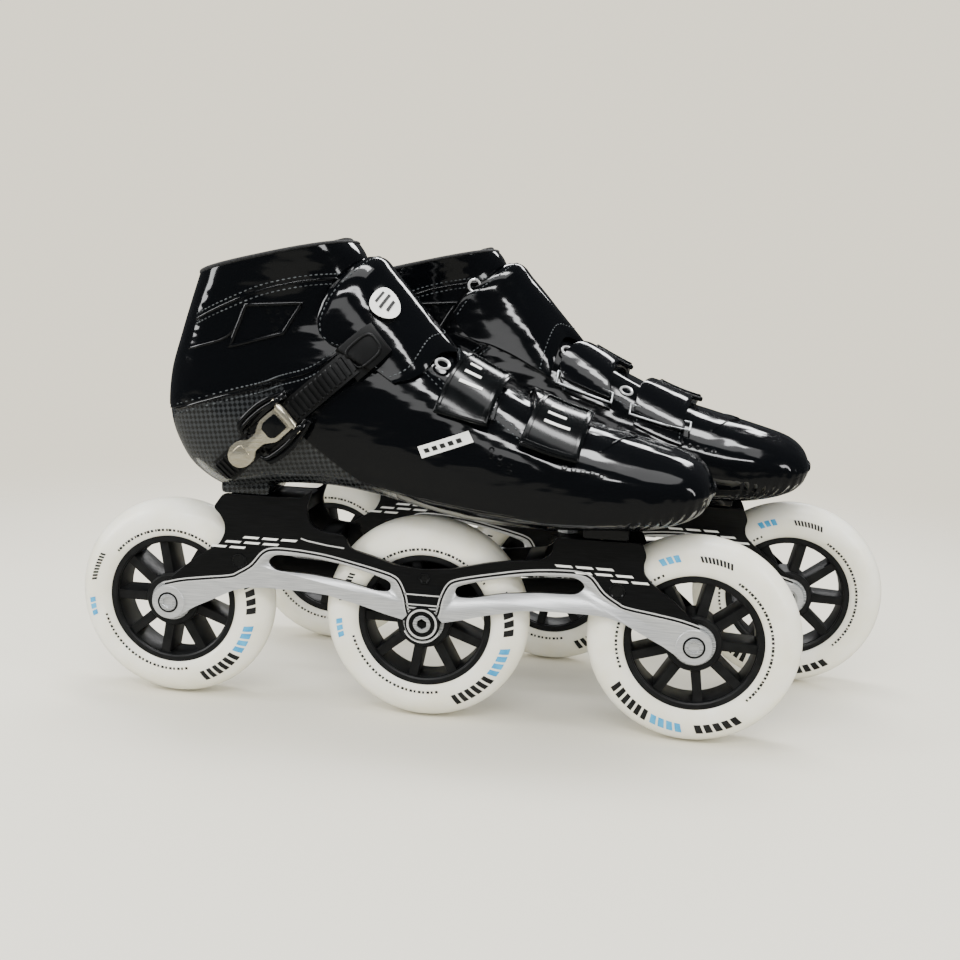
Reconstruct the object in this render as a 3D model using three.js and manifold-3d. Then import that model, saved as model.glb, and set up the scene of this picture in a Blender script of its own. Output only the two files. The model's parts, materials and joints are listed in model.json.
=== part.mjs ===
// A pair of three-wheel inline speed skates, standing side by side, in millimetres.
// One skate is built as a right skate, toe along +X, inner side towards +Y, with its
// origin on the ground under the middle axle. The left skate is its mirror image.
// The pair's origin is at the middle of its footprint, on the ground.

import * as THREE from 'three';
import { mergeVertices } from 'three/addons/utils/BufferGeometryUtils.js';
import Module from 'manifold-3d';

const wasm = await Module();
wasm.setup();

// Clearances
const touchGap = 0.3;
const strapLift = 0.4;
const boreRoom = 0.6;
const wheelRunout = 2.5;
const cutMargin = 200;

// Wheels
const wheelRadius = 55;
const wheelPitch = 140.2;
const tyreWidth = 24;
const treadFlat = 3.6;
const hubRadius = 35.6;
const hubWidth = 18.8;
const spokeCount = 9;
const spokeWidth = 4.6;
const rimWall = 3;
const coreWall = 3;
const wheelSides = 24;

// Bearings and axles
const bearingRadius = 11;
const bearingBore = 4;
const bearingWidth = 7;
const bearingSpacing = 8.4;
const axleRadius = bearingBore - touchGap;
const spacerRadius = 5.4;
const boltHeadRadius = 4.8;
const boltHeadProud = 0.6;
const hexSocketRadius = 2.8;
const hexSocketDepth = 2.4;

// Frame
const plateGap = 25.4;
const plateWall = 2.3;
const bossRadius = 9.6;
const bossProud = 0.8;
const innerBossRadius = 5.8;
const heelDeckAboveWheels = 7.3;
const toeDeckAboveWheels = -3.5;
const heelBridge = 8;
const toeBridge = 6;
const deckBoltRadius = 3;
const deckBoltHeadRadius = 5;
const deckBoltHeadHeight = 5;
const heelBoltX = -88;
const toeBoltX = 72.7;
const toePadRadius = 5.8;

// Boot
const bootLength = 288;
const ballWidth = 93;
const heelWidth = 68;
const cuffWidth = 76;
const cuffHeight = 139;
const toeShift = 6;
const shellWall = 2.4;
const linerWall = 4.5;
const footbedThickness = 4;
const throatHalfWidth = 12;
const ringSides = 12;
const loftRows = 15;

// Straps and buckle
const ankleStrapThickness = 2.2;
const velcroStrapThickness = 3;
const ladderWidth = 14;
const ladderThickness = 2.4;
const heelStrapLength = 27;
const buckleTilt = THREE.MathUtils.degToRad(41);
const buckleCentre = new THREE.Vector2(-72, 49);
const buckleLength = 30;
const buckleWall = 2.6;
const buckleHeight = 9.5;
const buckleFloor = 1.6;
const leverLength = 33;
const leverThickness = 2.2;
const paddleRadius = 6.5;
const neckWidth = 6.5;
const pinRadius = 1.3;
const hingeBarrelRadius = 2.2;

// Pair
const leftSkateOffset = new THREE.Vector2(58.3, 105.1);
const leftSkateTurn = THREE.MathUtils.degToRad(-1.15);

// Worked out from the sizes above
const plateInner = plateGap / 2;
const plateOuter = plateInner + plateWall;
const bossOuter = plateOuter + bossProud;
const bearingOuterFace = bearingSpacing / 2 + bearingWidth;
const axleX = [-wheelPitch, 0, wheelPitch];
const axleNames = ['rear', 'middle', 'front'];
const wheelTop = 2 * wheelRadius;
const heelDeck = wheelTop + heelDeckAboveWheels;
const toeDeck = wheelTop + toeDeckAboveWheels;

const finishes = {
  tyre: { color: 0xe4e3d6, roughness: 0.38, metalness: 0 },
  hub: { color: 0x101113, roughness: 0.45, metalness: 0 },
  steel: { color: 0xb9bcc0, roughness: 0.28, metalness: 1 },
  brassNickel: { color: 0xc9b891, roughness: 0.2, metalness: 1 },
  blackAlloy: { color: 0x17181a, roughness: 0.42, metalness: 0.7 },
  carbon: { color: 0x2a2c2f, roughness: 0.3, metalness: 0.1 },
  gloss: { color: 0x08090a, roughness: 0.08, metalness: 0 },
  lining: { color: 0x1b1c1e, roughness: 0.9, metalness: 0 },
  rubber: { color: 0x1d1e20, roughness: 0.7, metalness: 0 },
};

// ---- solids ----------------------------------------------------------------

function solidOf(geometry) {
  const bare = geometry.clone();
  bare.deleteAttribute('normal');
  bare.deleteAttribute('uv');
  const merged = mergeVertices(bare, 1e-4);
  return new wasm.Manifold(new wasm.Mesh({
    numProp: 3,
    vertProperties: new Float32Array(merged.attributes.position.array),
    triVerts: new Uint32Array(merged.index.array),
  }));
}

function geometryOf(solid) {
  const mesh = solid.getMesh();
  const geometry = new THREE.BufferGeometry();
  geometry.setAttribute('position', new THREE.BufferAttribute(mesh.vertProperties, 3));
  geometry.setIndex(new THREE.BufferAttribute(mesh.triVerts, 1));
  geometry.computeVertexNormals();
  return geometry;
}

const joined = (solids) => solids.reduce((sum, solid) => sum.add(solid));

// A side-view outline in X and Z, made solid between two places on Y.
function sidePrism(outline, yLow, yHigh, curveSegments = 6) {
  const shape = Array.isArray(outline) ? new THREE.Shape(outline) : outline;
  const geometry = new THREE.ExtrudeGeometry(shape, {
    depth: yHigh - yLow, bevelEnabled: false, curveSegments,
  });
  geometry.rotateX(Math.PI / 2);
  geometry.translate(0, yHigh, 0);
  return solidOf(geometry);
}

function crossCylinder(radius, yLow, yHigh, x, z, sides = 20) {
  const geometry = new THREE.CylinderGeometry(radius, radius, yHigh - yLow, sides);
  geometry.translate(x, (yLow + yHigh) / 2, z);
  return solidOf(geometry);
}

function uprightCylinder(radius, zLow, zHigh, x, y, sides = 16) {
  const geometry = new THREE.CylinderGeometry(radius, radius, zHigh - zLow, sides);
  geometry.rotateX(Math.PI / 2);
  geometry.translate(x, y, (zLow + zHigh) / 2);
  return solidOf(geometry);
}

function box(xLow, xHigh, yLow, yHigh, zLow, zHigh) {
  const geometry = new THREE.BoxGeometry(xHigh - xLow, yHigh - yLow, zHigh - zLow);
  geometry.translate((xLow + xHigh) / 2, (yLow + yHigh) / 2, (zLow + zHigh) / 2);
  return solidOf(geometry);
}

const points = (pairs) => pairs.map(([x, y]) => new THREE.Vector2(x, y));

// ---- wheels ----------------------------------------------------------------

// A turned ring about Y, with a flat side at the bottom.
function turnedRing(profile, sides) {
  const half = Math.PI / sides;
  const geometry = new THREE.LatheGeometry([...profile, profile[0]].reverse(), sides);
  geometry.rotateY(half);
  return geometry;
}

function tyreGeometry() {
  const bore = hubRadius + boreRoom;
  const halfWidth = tyreWidth / 2;
  const shoulder = bore + 0.32 * (wheelRadius - bore);
  const crown = wheelRadius / Math.cos(Math.PI / wheelSides);
  const profile = points([
    [bore, -hubWidth / 2], [bore, hubWidth / 2],
    [shoulder, halfWidth], [crown - 5, halfWidth - 3.4],
    [crown, treadFlat / 2], [crown, -treadFlat / 2],
    [crown - 5, 3.4 - halfWidth], [shoulder, -halfWidth],
  ]);
  return turnedRing(profile, wheelSides);
}

function hubGeometry() {
  const shape = new THREE.Shape();
  shape.absarc(0, 0, hubRadius, 0, 2 * Math.PI);
  const inner = bearingRadius + touchGap + coreWall;
  const outer = hubRadius - rimWall;
  const innerHalf = Math.PI / spokeCount - spokeWidth / 2 / inner;
  const outerHalf = Math.PI / spokeCount - spokeWidth / 2 / outer;
  for (let i = 0; i < spokeCount; i += 1) {
    const middle = Math.PI + (2 * i + 1) * Math.PI / spokeCount;
    const outerPoints = [-1, 1].map((share) => new THREE.Vector2(
      outer * Math.cos(middle + share * outerHalf), outer * Math.sin(middle + share * outerHalf)));
    const innerPoints = [1, -1].map((share) => new THREE.Vector2(
      inner * Math.cos(middle + share * innerHalf), inner * Math.sin(middle + share * innerHalf)));
    shape.holes.push(new THREE.Path([...outerPoints, ...innerPoints]));
  }
  const disc = sidePrism(shape, -hubWidth / 2, hubWidth / 2, 9);
  const core = crossCylinder(inner - 0.8, -bearingOuterFace, bearingOuterFace, 0, 0, 12);
  const bore = crossCylinder(bearingRadius + boreRoom, -tyreWidth, tyreWidth, 0, 0, 12);
  return geometryOf(disc.add(core).subtract(bore));
}

function bearingGeometry() {
  const half = bearingWidth / 2;
  return turnedRing(points([
    [bearingBore + touchGap, -half], [bearingBore + touchGap, half], [bearingRadius, half], [bearingRadius, -half],
  ]), 12);
}

// The axle bolt with its spacer sleeve: head on the outer side, end flush with the inner plate.
function axleGeometry() {
  const headBottom = -(plateOuter - 1);
  const headTop = -(bossOuter + boltHeadProud);
  const shaft = crossCylinder(axleRadius, headBottom, bossOuter - touchGap, 0, 0, 10);
  const sleeveHalf = bearingSpacing / 2 - touchGap;
  const sleeve = crossCylinder(spacerRadius, -sleeveHalf, sleeveHalf, 0, 0, 10);
  const head = crossCylinder(boltHeadRadius, headTop, headBottom, 0, 0, 12);
  const socket = crossCylinder(hexSocketRadius, headTop - 1, headTop + hexSocketDepth, 0, 0, 6);
  return geometryOf(joined([shaft, sleeve, head]).subtract(socket));
}

// ---- frame -----------------------------------------------------------------

const flipped = (list) => list.map(([x, z]) => [-x, z]);

// Half of the lower edge, from the middle axle's boss out to the end axle's boss.
const lowerEdge = [
  [10.6, 1], [34, 7.5], [51, 11.3], [64, 12.4], [88, 12.4], [104, 9.4], [125, -1.2], [135, -8],
];
const endArm = [[143, 10.2], [127.5, 23.8], [118, 30.5]];

function frameOutline() {
  const fromAxle = ([x, z]) => [x, wheelRadius + z];
  const fromWheelTop = ([x, z]) => [x, wheelTop + z];
  const lower = lowerEdge.map(fromAxle);
  const arm = endArm.map(fromAxle);
  const rearMount = [
    [-111, -20], [-108, -14], [-108, -9], [-114.4, -0.6], [-108.8, heelDeckAboveWheels],
    [-66, heelDeckAboveWheels], [-60, 12.3], [-63, 2.5], [-62, -4], [-58.8, -8], [-42.5, -10.6],
  ].map(fromWheelTop);
  const saddle = [[-39.4, -17.7], [-15, -24.4], [15, -24.2], [32.5, -19.7], [44, -17.7]].map(fromWheelTop);
  const toeMount = [
    [61, -16], [66, -12], [67.5, toeDeckAboveWheels], [111, toeDeckAboveWheels],
    [113.8, -10], [112.5, -14], [113, -19], [116, -22.5],
  ].map(fromWheelTop);
  return points([
    ...flipped(arm), ...rearMount, ...saddle, ...toeMount,
    ...[...arm].reverse(), ...[...lower].reverse(), ...flipped(lower),
  ]);
}

// One long window of the side plate, ahead of the middle axle or behind it.
function windowOutline(side) {
  const upper = [[18, 22.4], [28, 25.6], [42, 28.6], [58, 30.9], [80, 31.4]];
  const lower = [[80, 22.4], [60, 21.8], [42, 19.8], [25, 15.9]];
  const path = new THREE.Path();
  const at = (x, z) => [side * x, wheelRadius + z];
  path.moveTo(...at(...upper[0]));
  upper.slice(1).forEach(([x, z]) => path.lineTo(...at(x, z)));
  path.quadraticCurveTo(...at(86.5, 27), ...at(...lower[0]));
  lower.slice(1).forEach(([x, z]) => path.lineTo(...at(x, z)));
  path.quadraticCurveTo(...at(14, 14.5), ...at(...upper[0]));
  return new THREE.Shape(path.getPoints(4));
}

function frameGeometry() {
  const windows = [1, -1].map((side) => sidePrism(windowOutline(side), -cutMargin, cutMargin));
  let body = sidePrism(frameOutline(), -plateOuter, plateOuter).subtract(joined(windows));
  const channel = box(-cutMargin, cutMargin, -plateInner, plateInner, 0, 2 * cutMargin);
  const bridges = [
    box(-106, -64, -plateOuter, plateOuter, heelDeck - heelBridge, cutMargin),
    box(-58, -48, -plateOuter, plateOuter, wheelTop - 20, wheelTop),
    box(52, 62, -plateOuter, plateOuter, wheelTop - 25, wheelTop),
    box(68, 104, -plateOuter, plateOuter, toeDeck - toeBridge, cutMargin),
  ];
  const wheelRoom = axleX.map((x) => crossCylinder(
    wheelRadius + wheelRunout, -plateInner, plateInner, x, wheelRadius, 24));
  body = body.subtract(channel.subtract(joined(bridges))).subtract(joined(wheelRoom));
  for (const side of [-1, 1]) {
    const across = (a, b) => (side < 0 ? [-b, -a] : [a, b]);
    for (const x of axleX) {
      body = body.add(crossCylinder(bossRadius, ...across(plateInner, bossOuter), x, wheelRadius, 12));
      body = body.add(crossCylinder(
        innerBossRadius, ...across(bearingOuterFace + touchGap, plateOuter), x, wheelRadius, 8));
    }
  }
  for (const x of axleX) {
    body = body.subtract(crossCylinder(axleRadius + touchGap, -cutMargin, cutMargin, x, wheelRadius, 8));
    body = body.subtract(crossCylinder(
      boltHeadRadius + touchGap, -cutMargin, -(plateOuter - 1 - touchGap), x, wheelRadius, 10));
  }
  for (const x of [heelBoltX, toeBoltX]) {
    body = body.subtract(uprightCylinder(deckBoltRadius + touchGap, wheelRadius, cutMargin, x, 0, 12));
  }
  return geometryOf(body);
}

// A deck bolt comes up from under a bridge into the sole.
function deckBolt(x, bridgeBottom, tip, pad) {
  const headTop = bridgeBottom - touchGap;
  const shaft = uprightCylinder(deckBoltRadius, headTop - 1, tip, x, 0, 12);
  const head = uprightCylinder(deckBoltHeadRadius, headTop - deckBoltHeadHeight, headTop, x, 0, 14);
  const socket = uprightCylinder(
    hexSocketRadius, headTop - deckBoltHeadHeight - 1, headTop - deckBoltHeadHeight + hexSocketDepth, x, 0, 6);
  const parts = [shaft, head];
  if (pad) {
    parts.push(uprightCylinder(toePadRadius, pad[0], pad[1], x, 0, 6));
  }
  return geometryOf(joined(parts).subtract(socket));
}

// ---- boot ------------------------------------------------------------------

// Sections of the boot from toe to collar. Each runs from a point on the sole or the back
// to a point on the ridge of the foot, with heights taken from the top of the wheels.
const soleLine = new THREE.SplineCurve(points([
  [144.3, 21.5], [139, 14], [129.5, 8.6], [112, 4.2], [88, 2.1], [62, 1.3], [38, 1.3], [16, 3.3],
  [-6, 7.2], [-28, 11.6], [-52, 14.2], [-80, 13.2], [-106, 9.4], [-125.5, 19], [-135.5, 33], [-139.8, 49],
  [-138.2, 69], [-132.4, 88], [-126.4, 105], [-120.5, 121],
]));
const ridgeLine = new THREE.SplineCurve(points([
  [145, 25.6], [141.4, 33], [132.6, 39.2], [114, 44.8], [92, 50.4], [68, 57], [45, 67], [23, 77.6],
  [6, 87], [-7, 96], [-17, 104.6], [-25, 112], [-29.5, 116.4], [-32.5, 119.8], [-34.6, 123], [-36.4, 127],
  [-38.2, 131], [-40, 134.4], [-42, 137], [-44, cuffHeight],
]));
const sectionCount = soleLine.points.length;

// Half widths at a few sections, as shares of the named widths.
const widthCurve = new THREE.SplineCurve([
  0.32 * ballWidth / 2, 0.62 * ballWidth / 2, 0.81 * ballWidth / 2, 0.94 * ballWidth / 2, 0.99 * ballWidth / 2,
  ballWidth / 2, 0.95 * ballWidth / 2, 0.88 * ballWidth / 2, 1.1 * heelWidth / 2, 1.05 * heelWidth / 2,
  1.02 * heelWidth / 2, heelWidth / 2, heelWidth / 2, 0.99 * heelWidth / 2, 0.98 * heelWidth / 2,
  0.99 * heelWidth / 2, 0.9 * cuffWidth / 2, 0.93 * cuffWidth / 2, 0.97 * cuffWidth / 2, cuffWidth / 2,
].map((width, i) => new THREE.Vector2(i, width)));

function sectionAt(u) {
  const within = Math.min(u, 1);
  const stretch = new THREE.Vector2(bootLength / 288, 1);
  const lift = new THREE.Vector2(0, wheelTop);
  const sole = soleLine.getPoint(within).multiply(stretch).add(lift);
  const ridge = ridgeLine.getPoint(within).multiply(stretch).add(lift);
  const along = ridge.clone().sub(sole);
  if (u > 1) {
    const up = new THREE.Vector2(-along.y, along.x).normalize().multiplyScalar((u - 1) * 100);
    sole.add(up);
    ridge.add(up);
  }
  const toeShare = THREE.MathUtils.smoothstep(sole.x, 20, 150);
  return {
    middle: sole.clone().add(ridge).multiplyScalar(0.5),
    direction: along.clone().normalize(),
    halfLength: along.length() / 2,
    halfWidth: widthCurve.getPoint(within).y,
    shift: toeShift * toeShare,
    lowerRound: THREE.MathUtils.lerp(0.55, 0.82, Math.min(1, within * 1.4)),
    upperRound: THREE.MathUtils.lerp(1, 0.82, within),
  };
}

const signedPower = (value, power) => Math.sign(value) * Math.abs(value) ** power;

// The boot's outer surface moved outwards by offset, as a closed body bent from a cylinder.
// Every offset has its rows at the same places, so layers nest. A body that is only cut away
// or stands above the collar goes on past it by topExtra.
function bootBody(offset, topExtra = 0) {
  let toe = 0;
  while (sectionAt(toe).halfLength + offset < 2) {
    toe += 0.002;
  }
  const rows = loftRows + (topExtra > 0 ? 1 : 0);
  const places = Array.from({ length: rows + 1 }, (_, row) => Math.min(row / loftRows, 1 + topExtra / 100));
  places[0] = toe;
  const geometry = new THREE.CylinderGeometry(1, 1, 1, ringSides, rows);
  const position = geometry.attributes.position;
  for (let i = 0; i < position.count; i += 1) {
    const radius = Math.hypot(position.getX(i), position.getZ(i));
    const angle = Math.atan2(position.getZ(i), -position.getX(i));
    const section = sectionAt(places[Math.round((0.5 - position.getY(i)) * rows)]);
    const round = Math.sin(angle) < 0 ? section.lowerRound : section.upperRound;
    const along = radius * signedPower(Math.sin(angle), round) * (section.halfLength + offset);
    const across = radius * signedPower(Math.cos(angle), round) * (section.halfWidth + offset);
    position.setXYZ(
      i,
      section.middle.x + section.direction.x * along,
      section.shift + across,
      section.middle.y + section.direction.y * along,
    );
  }
  return solidOf(geometry);
}

// A layer between two offsets of the boot's surface.
const bootLayer = (low, high, topExtra = 0) => bootBody(high, topExtra).subtract(bootBody(low, topExtra + 12));

// Where the carbon shell ends and the upper begins, from the back of the heel to the toe.
const seamLine = [
  [-170, 46], [-126, 53.5], [-100, 62], [-71, 71.5], [-58, 42], [-30, 20.5], [0, 15.5], [50, 12], [100, 13],
  [126, 18], [170, 34],
];
const aboveSeam = (rise) => sidePrism(points([
  ...seamLine.map(([x, z]) => [x * bootLength / 288, wheelTop + z + rise]),
  [cutMargin, wheelTop + cutMargin], [-cutMargin, wheelTop + cutMargin],
]), -cutMargin, cutMargin);
const throat = (halfWidth) => sidePrism(points([
  [-62, 160], [-62, 126], [-50, 118], [-20, 86], [10, 70], [36, 62], [40, 76], [40, 160],
].map(([x, z]) => [x * bootLength / 288, wheelTop + z])), -halfWidth, halfWidth);

function shellGeometry() {
  const hollow = bootBody(-shellWall, 12);
  const heelPad = box(-110, -84, -plateOuter, plateOuter, heelDeck + touchGap, heelDeck + 8);
  const toePad = box(81, 104, -plateOuter, plateOuter, toeDeck + touchGap, toeDeck + 9);
  const bolts = [
    uprightCylinder(deckBoltRadius + touchGap, wheelRadius, heelDeck + 4, heelBoltX, 0, 12),
    uprightCylinder(deckBoltRadius + touchGap, wheelRadius, toeDeck + 6.5, toeBoltX, 0, 12),
  ];
  return geometryOf(joined([bootBody(0), heelPad, toePad])
    .subtract(hollow).subtract(aboveSeam(0)).subtract(joined(bolts)));
}

function upperGeometry() {
  return geometryOf(bootLayer(-shellWall, 0).intersect(aboveSeam(touchGap)).subtract(throat(throatHalfWidth)));
}

function linerGeometry() {
  const low = -shellWall - touchGap - linerWall;
  return geometryOf(bootLayer(low, -shellWall - touchGap, 2).subtract(throat(throatHalfWidth)));
}

function tongueGeometry() {
  const low = -shellWall - touchGap - linerWall;
  return geometryOf(bootLayer(low, -touchGap, 4).intersect(throat(throatHalfWidth - touchGap)));
}

function footbedGeometry() {
  const inside = -shellWall - linerWall - 2 * touchGap;
  const sheet = bootBody(inside, 0).subtract(sidePrism(points([
    [-170, 22], [-110, 17 + footbedThickness], [-60, 22 + footbedThickness], [-20, 18 + footbedThickness],
    [20, 10 + footbedThickness], [60, 8.6 + footbedThickness], [100, 10.5 + footbedThickness], [170, 34],
    [170, 200], [-170, 200],
  ].map(([x, z]) => [x * bootLength / 288, wheelTop + z])), -cutMargin, cutMargin));
  return geometryOf(sheet);
}

// A band that lies on the boot: one side-view outline for each side of the foot.
function bootBand(low, thickness, outerSide, innerSide) {
  const place = (list) => points(list.map(([x, z]) => [x * bootLength / 288, wheelTop + z]));
  const zone = [];
  if (outerSide) {
    zone.push(sidePrism(place(outerSide), -cutMargin, innerSide ? 6 : 0));
  }
  if (innerSide) {
    zone.push(sidePrism(place(innerSide), 6, cutMargin));
  }
  return bootLayer(low, low + thickness).intersect(joined(zone));
}

const ankleStrapSides = [
  [[-37, 138], [-58, 114], [-54, 98], [-36, 78], [-22, 70], [-8, 72], [6, 86], [16, 96]],
  [[-37, 138], [-42, 126], [-65, 105], [-52, 90], [-5, 68], [6, 86], [16, 96]],
];
const instepStrapSides = [
  [[13, 95], [8, 66], [36, 53], [40, 66], [42, 88]],
  [[13, 95], [3, 68], [30, 50], [40, 66], [42, 88]],
];
const toeStrapSides = [
  [[52, 80], [49, 50], [77, 42], [84, 52], [84, 70]],
  [[52, 80], [45, 54], [72, 35], [84, 52], [84, 70]],
];

// ---- buckle ----------------------------------------------------------------

const bootSkin = new THREE.Mesh(geometryOf(bootBody(0)));

// The point of the boot's outer side at a place in the side view.
function skinPoint(x, z) {
  const ray = new THREE.Raycaster(new THREE.Vector3(x, -cutMargin, z), new THREE.Vector3(0, 1, 0));
  return ray.intersectObject(bootSkin)[0].point;
}

// Places along the buckle are measured from its middle, upwards to the ladder strap's far end.
const ladderLow = strapLift + buckleFloor + touchGap;
const leverRise = ladderLow + ladderThickness + touchGap + 1.6 + hingeBarrelRadius;
const pivotAlong = buckleLength / 2 - 6;
const clearWidth = ladderWidth + 2 * touchGap;
const buckleWidth = clearWidth + 2 * buckleWall;

// The buckle's frame: X along the strap, Z away from the boot, origin on the hinge pin.
function buckleFrame() {
  const place = (along, across) => {
    const turned = new THREE.Vector2(along, across).rotateAround(new THREE.Vector2(), buckleTilt);
    return skinPoint(buckleCentre.x + turned.x, wheelTop + buckleCentre.y + turned.y);
  };
  const hinge = place(pivotAlong, 0);
  const middle = pivotAlong - leverLength / 2;
  const along = hinge.clone().sub(place(pivotAlong - leverLength, 0)).normalize();
  const across = place(middle, -6).sub(place(middle, 6)).normalize();
  const out = new THREE.Vector3().crossVectors(along, across).normalize();
  out.multiplyScalar(-Math.sign(out.y));
  const side = new THREE.Vector3().crossVectors(out, along).normalize();
  return new THREE.Matrix4().makeBasis(along, side, out).setPosition(hinge.addScaledVector(out, leverRise));
}

const onBuckle = (geometry) => solidOf(geometry.applyMatrix4(buckleFrame()));

// A straight strip of the boot's surface, through the buckle.
function buckleStrip(low, thickness, start, end, width) {
  const block = new THREE.BoxGeometry(end - start, width, 70);
  block.translate((start + end) / 2 - pivotAlong, 0, 0);
  return bootLayer(low, low + thickness).intersect(onBuckle(block));
}

const pinCylinder = (radius, half, sides) => onBuckle(new THREE.CylinderGeometry(radius, radius, 2 * half, sides));

function buckleBaseGeometry() {
  const half = buckleLength / 2;
  const block = buckleStrip(strapLift, buckleHeight, -half, half, buckleWidth);
  const channel = buckleStrip(strapLift + buckleFloor, buckleHeight + 5, -half - 5, half + 5, clearWidth);
  return geometryOf(block.subtract(channel).subtract(pinCylinder(pinRadius + touchGap, buckleWidth, 8)));
}

function ladderGeometry() {
  const band = buckleStrip(ladderLow, ladderThickness, -buckleLength / 2 + 4, 62, ladderWidth);
  const underStrap = bootBand(strapLift - 1, ankleStrapThickness + 1 + touchGap, ankleStrapSides[0]);
  const holder = buckleStrip(strapLift + ankleStrapThickness + touchGap, 5, 44, 70, ladderWidth + 8);
  return geometryOf(band.subtract(underStrap).add(holder));
}

function heelStrapGeometry() {
  const top = -buckleLength / 2 - touchGap;
  return geometryOf(buckleStrip(strapLift, velcroStrapThickness, top - heelStrapLength, top, ladderWidth));
}

function leverGeometry() {
  const halfWidth = clearWidth / 2 - touchGap;
  const shape = new THREE.Shape();
  shape.moveTo(0, -halfWidth);
  shape.lineTo(0, halfWidth);
  shape.lineTo(-0.42 * leverLength, halfWidth);
  shape.lineTo(-0.55 * leverLength, neckWidth / 2);
  shape.lineTo(-leverLength + paddleRadius, neckWidth / 2);
  shape.absarc(-leverLength, 0, paddleRadius, Math.PI / 6, -Math.PI / 6 + 2 * Math.PI, false);
  shape.lineTo(-leverLength + paddleRadius, -neckWidth / 2);
  shape.lineTo(-0.55 * leverLength, -neckWidth / 2);
  shape.lineTo(-0.42 * leverLength, -halfWidth);
  const blade = new THREE.ExtrudeGeometry(shape, { depth: leverThickness, bevelEnabled: false, curveSegments: 4 });
  blade.translate(0, 0, -leverThickness / 2);
  return geometryOf(joined([
    onBuckle(blade),
    pinCylinder(hingeBarrelRadius, halfWidth, 10),
    pinCylinder(pinRadius, buckleWidth / 2, 8),
  ]));
}

// ---- assembly --------------------------------------------------------------

function mesh(name, geometry, finish) {
  const part = new THREE.Mesh(geometry, new THREE.MeshStandardMaterial(finishes[finish]));
  part.name = name;
  return part;
}

const shared = {
  tyre: tyreGeometry(),
  hub: hubGeometry(),
  bearing: bearingGeometry(),
  axle: axleGeometry(),
  frame: frameGeometry(),
  heelBolt: deckBolt(heelBoltX, heelDeck - heelBridge, heelDeck + 3.5),
  toeBolt: deckBolt(toeBoltX, toeDeck - toeBridge, toeDeck + 6, [toeDeck + touchGap, toeDeck + 4]),
  shell: shellGeometry(),
  upper: upperGeometry(),
  liner: linerGeometry(),
  tongue: tongueGeometry(),
  footbed: footbedGeometry(),
  ankleStrap: geometryOf(bootBand(strapLift, ankleStrapThickness, ...ankleStrapSides)),
  instepStrap: geometryOf(bootBand(strapLift, velcroStrapThickness, ...instepStrapSides)),
  toeStrap: geometryOf(bootBand(strapLift, velcroStrapThickness, ...toeStrapSides)),
  ladder: ladderGeometry(),
  heelStrap: heelStrapGeometry(),
  buckleBase: buckleBaseGeometry(),
  lever: leverGeometry(),
};

function skate(side) {
  const group = new THREE.Group();
  const add = (name, geometry, finish) => {
    const part = mesh(`${side}_${name}`, geometry, finish);
    group.add(part);
    return part;
  };
  add('frame', shared.frame, 'blackAlloy');
  add('heel_mount_bolt', shared.heelBolt, 'steel');
  add('toe_mount_bolt', shared.toeBolt, 'steel');
  axleX.forEach((x, i) => {
    const wheel = axleNames[i];
    const spin = i === 2 ? THREE.MathUtils.degToRad(-18) : 0;
    add(`${wheel}_tyre`, shared.tyre, 'tyre').position.set(x, 0, wheelRadius);
    const hub = add(`${wheel}_hub`, shared.hub, 'hub');
    hub.position.set(x, 0, wheelRadius);
    hub.rotation.y = spin;
    const bearingY = (bearingSpacing + bearingWidth) / 2;
    add(`${wheel}_bearing_outer_side`, shared.bearing, 'steel').position.set(x, -bearingY, wheelRadius);
    add(`${wheel}_bearing_inner_side`, shared.bearing, 'steel').position.set(x, bearingY, wheelRadius);
    add(`${wheel}_axle`, shared.axle, 'steel').position.set(x, 0, wheelRadius);
  });
  add('carbon_shell', shared.shell, 'carbon');
  add('upper', shared.upper, 'gloss');
  add('liner', shared.liner, 'lining');
  add('tongue', shared.tongue, 'lining');
  add('footbed', shared.footbed, 'lining');
  add('ankle_strap', shared.ankleStrap, 'gloss');
  add('instep_strap', shared.instepStrap, 'gloss');
  add('toe_strap', shared.toeStrap, 'gloss');
  add('ladder_strap', shared.ladder, 'rubber');
  add('heel_strap', shared.heelStrap, 'rubber');
  add('buckle_base', shared.buckleBase, 'rubber');
  add('buckle_lever', shared.lever, 'brassNickel');
  return group;
}

const rightSkate = skate('right');
const leftSkate = skate('left');
leftSkate.scale.y = -1;
leftSkate.position.set(leftSkateOffset.x, leftSkateOffset.y, 0);
leftSkate.rotation.z = leftSkateTurn;

const pair = new THREE.Group();
pair.add(rightSkate, leftSkate);
pair.updateMatrixWorld(true);
const bounds = new THREE.Box3().setFromObject(pair, true);
pair.position.set(-(bounds.min.x + bounds.max.x) / 2, -(bounds.min.y + bounds.max.y) / 2, -bounds.min.z);

const model = new THREE.Group();
model.add(pair);

export default model;
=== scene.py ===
# %% [markdown]
# # A pair of inline speed skates
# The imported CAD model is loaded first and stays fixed. Every piece made here sits around it, in metres.
# Both skates hold the same pieces, so each piece is made once, for the right skate, and copied to both.

# %% Load the frame
import math

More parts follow.
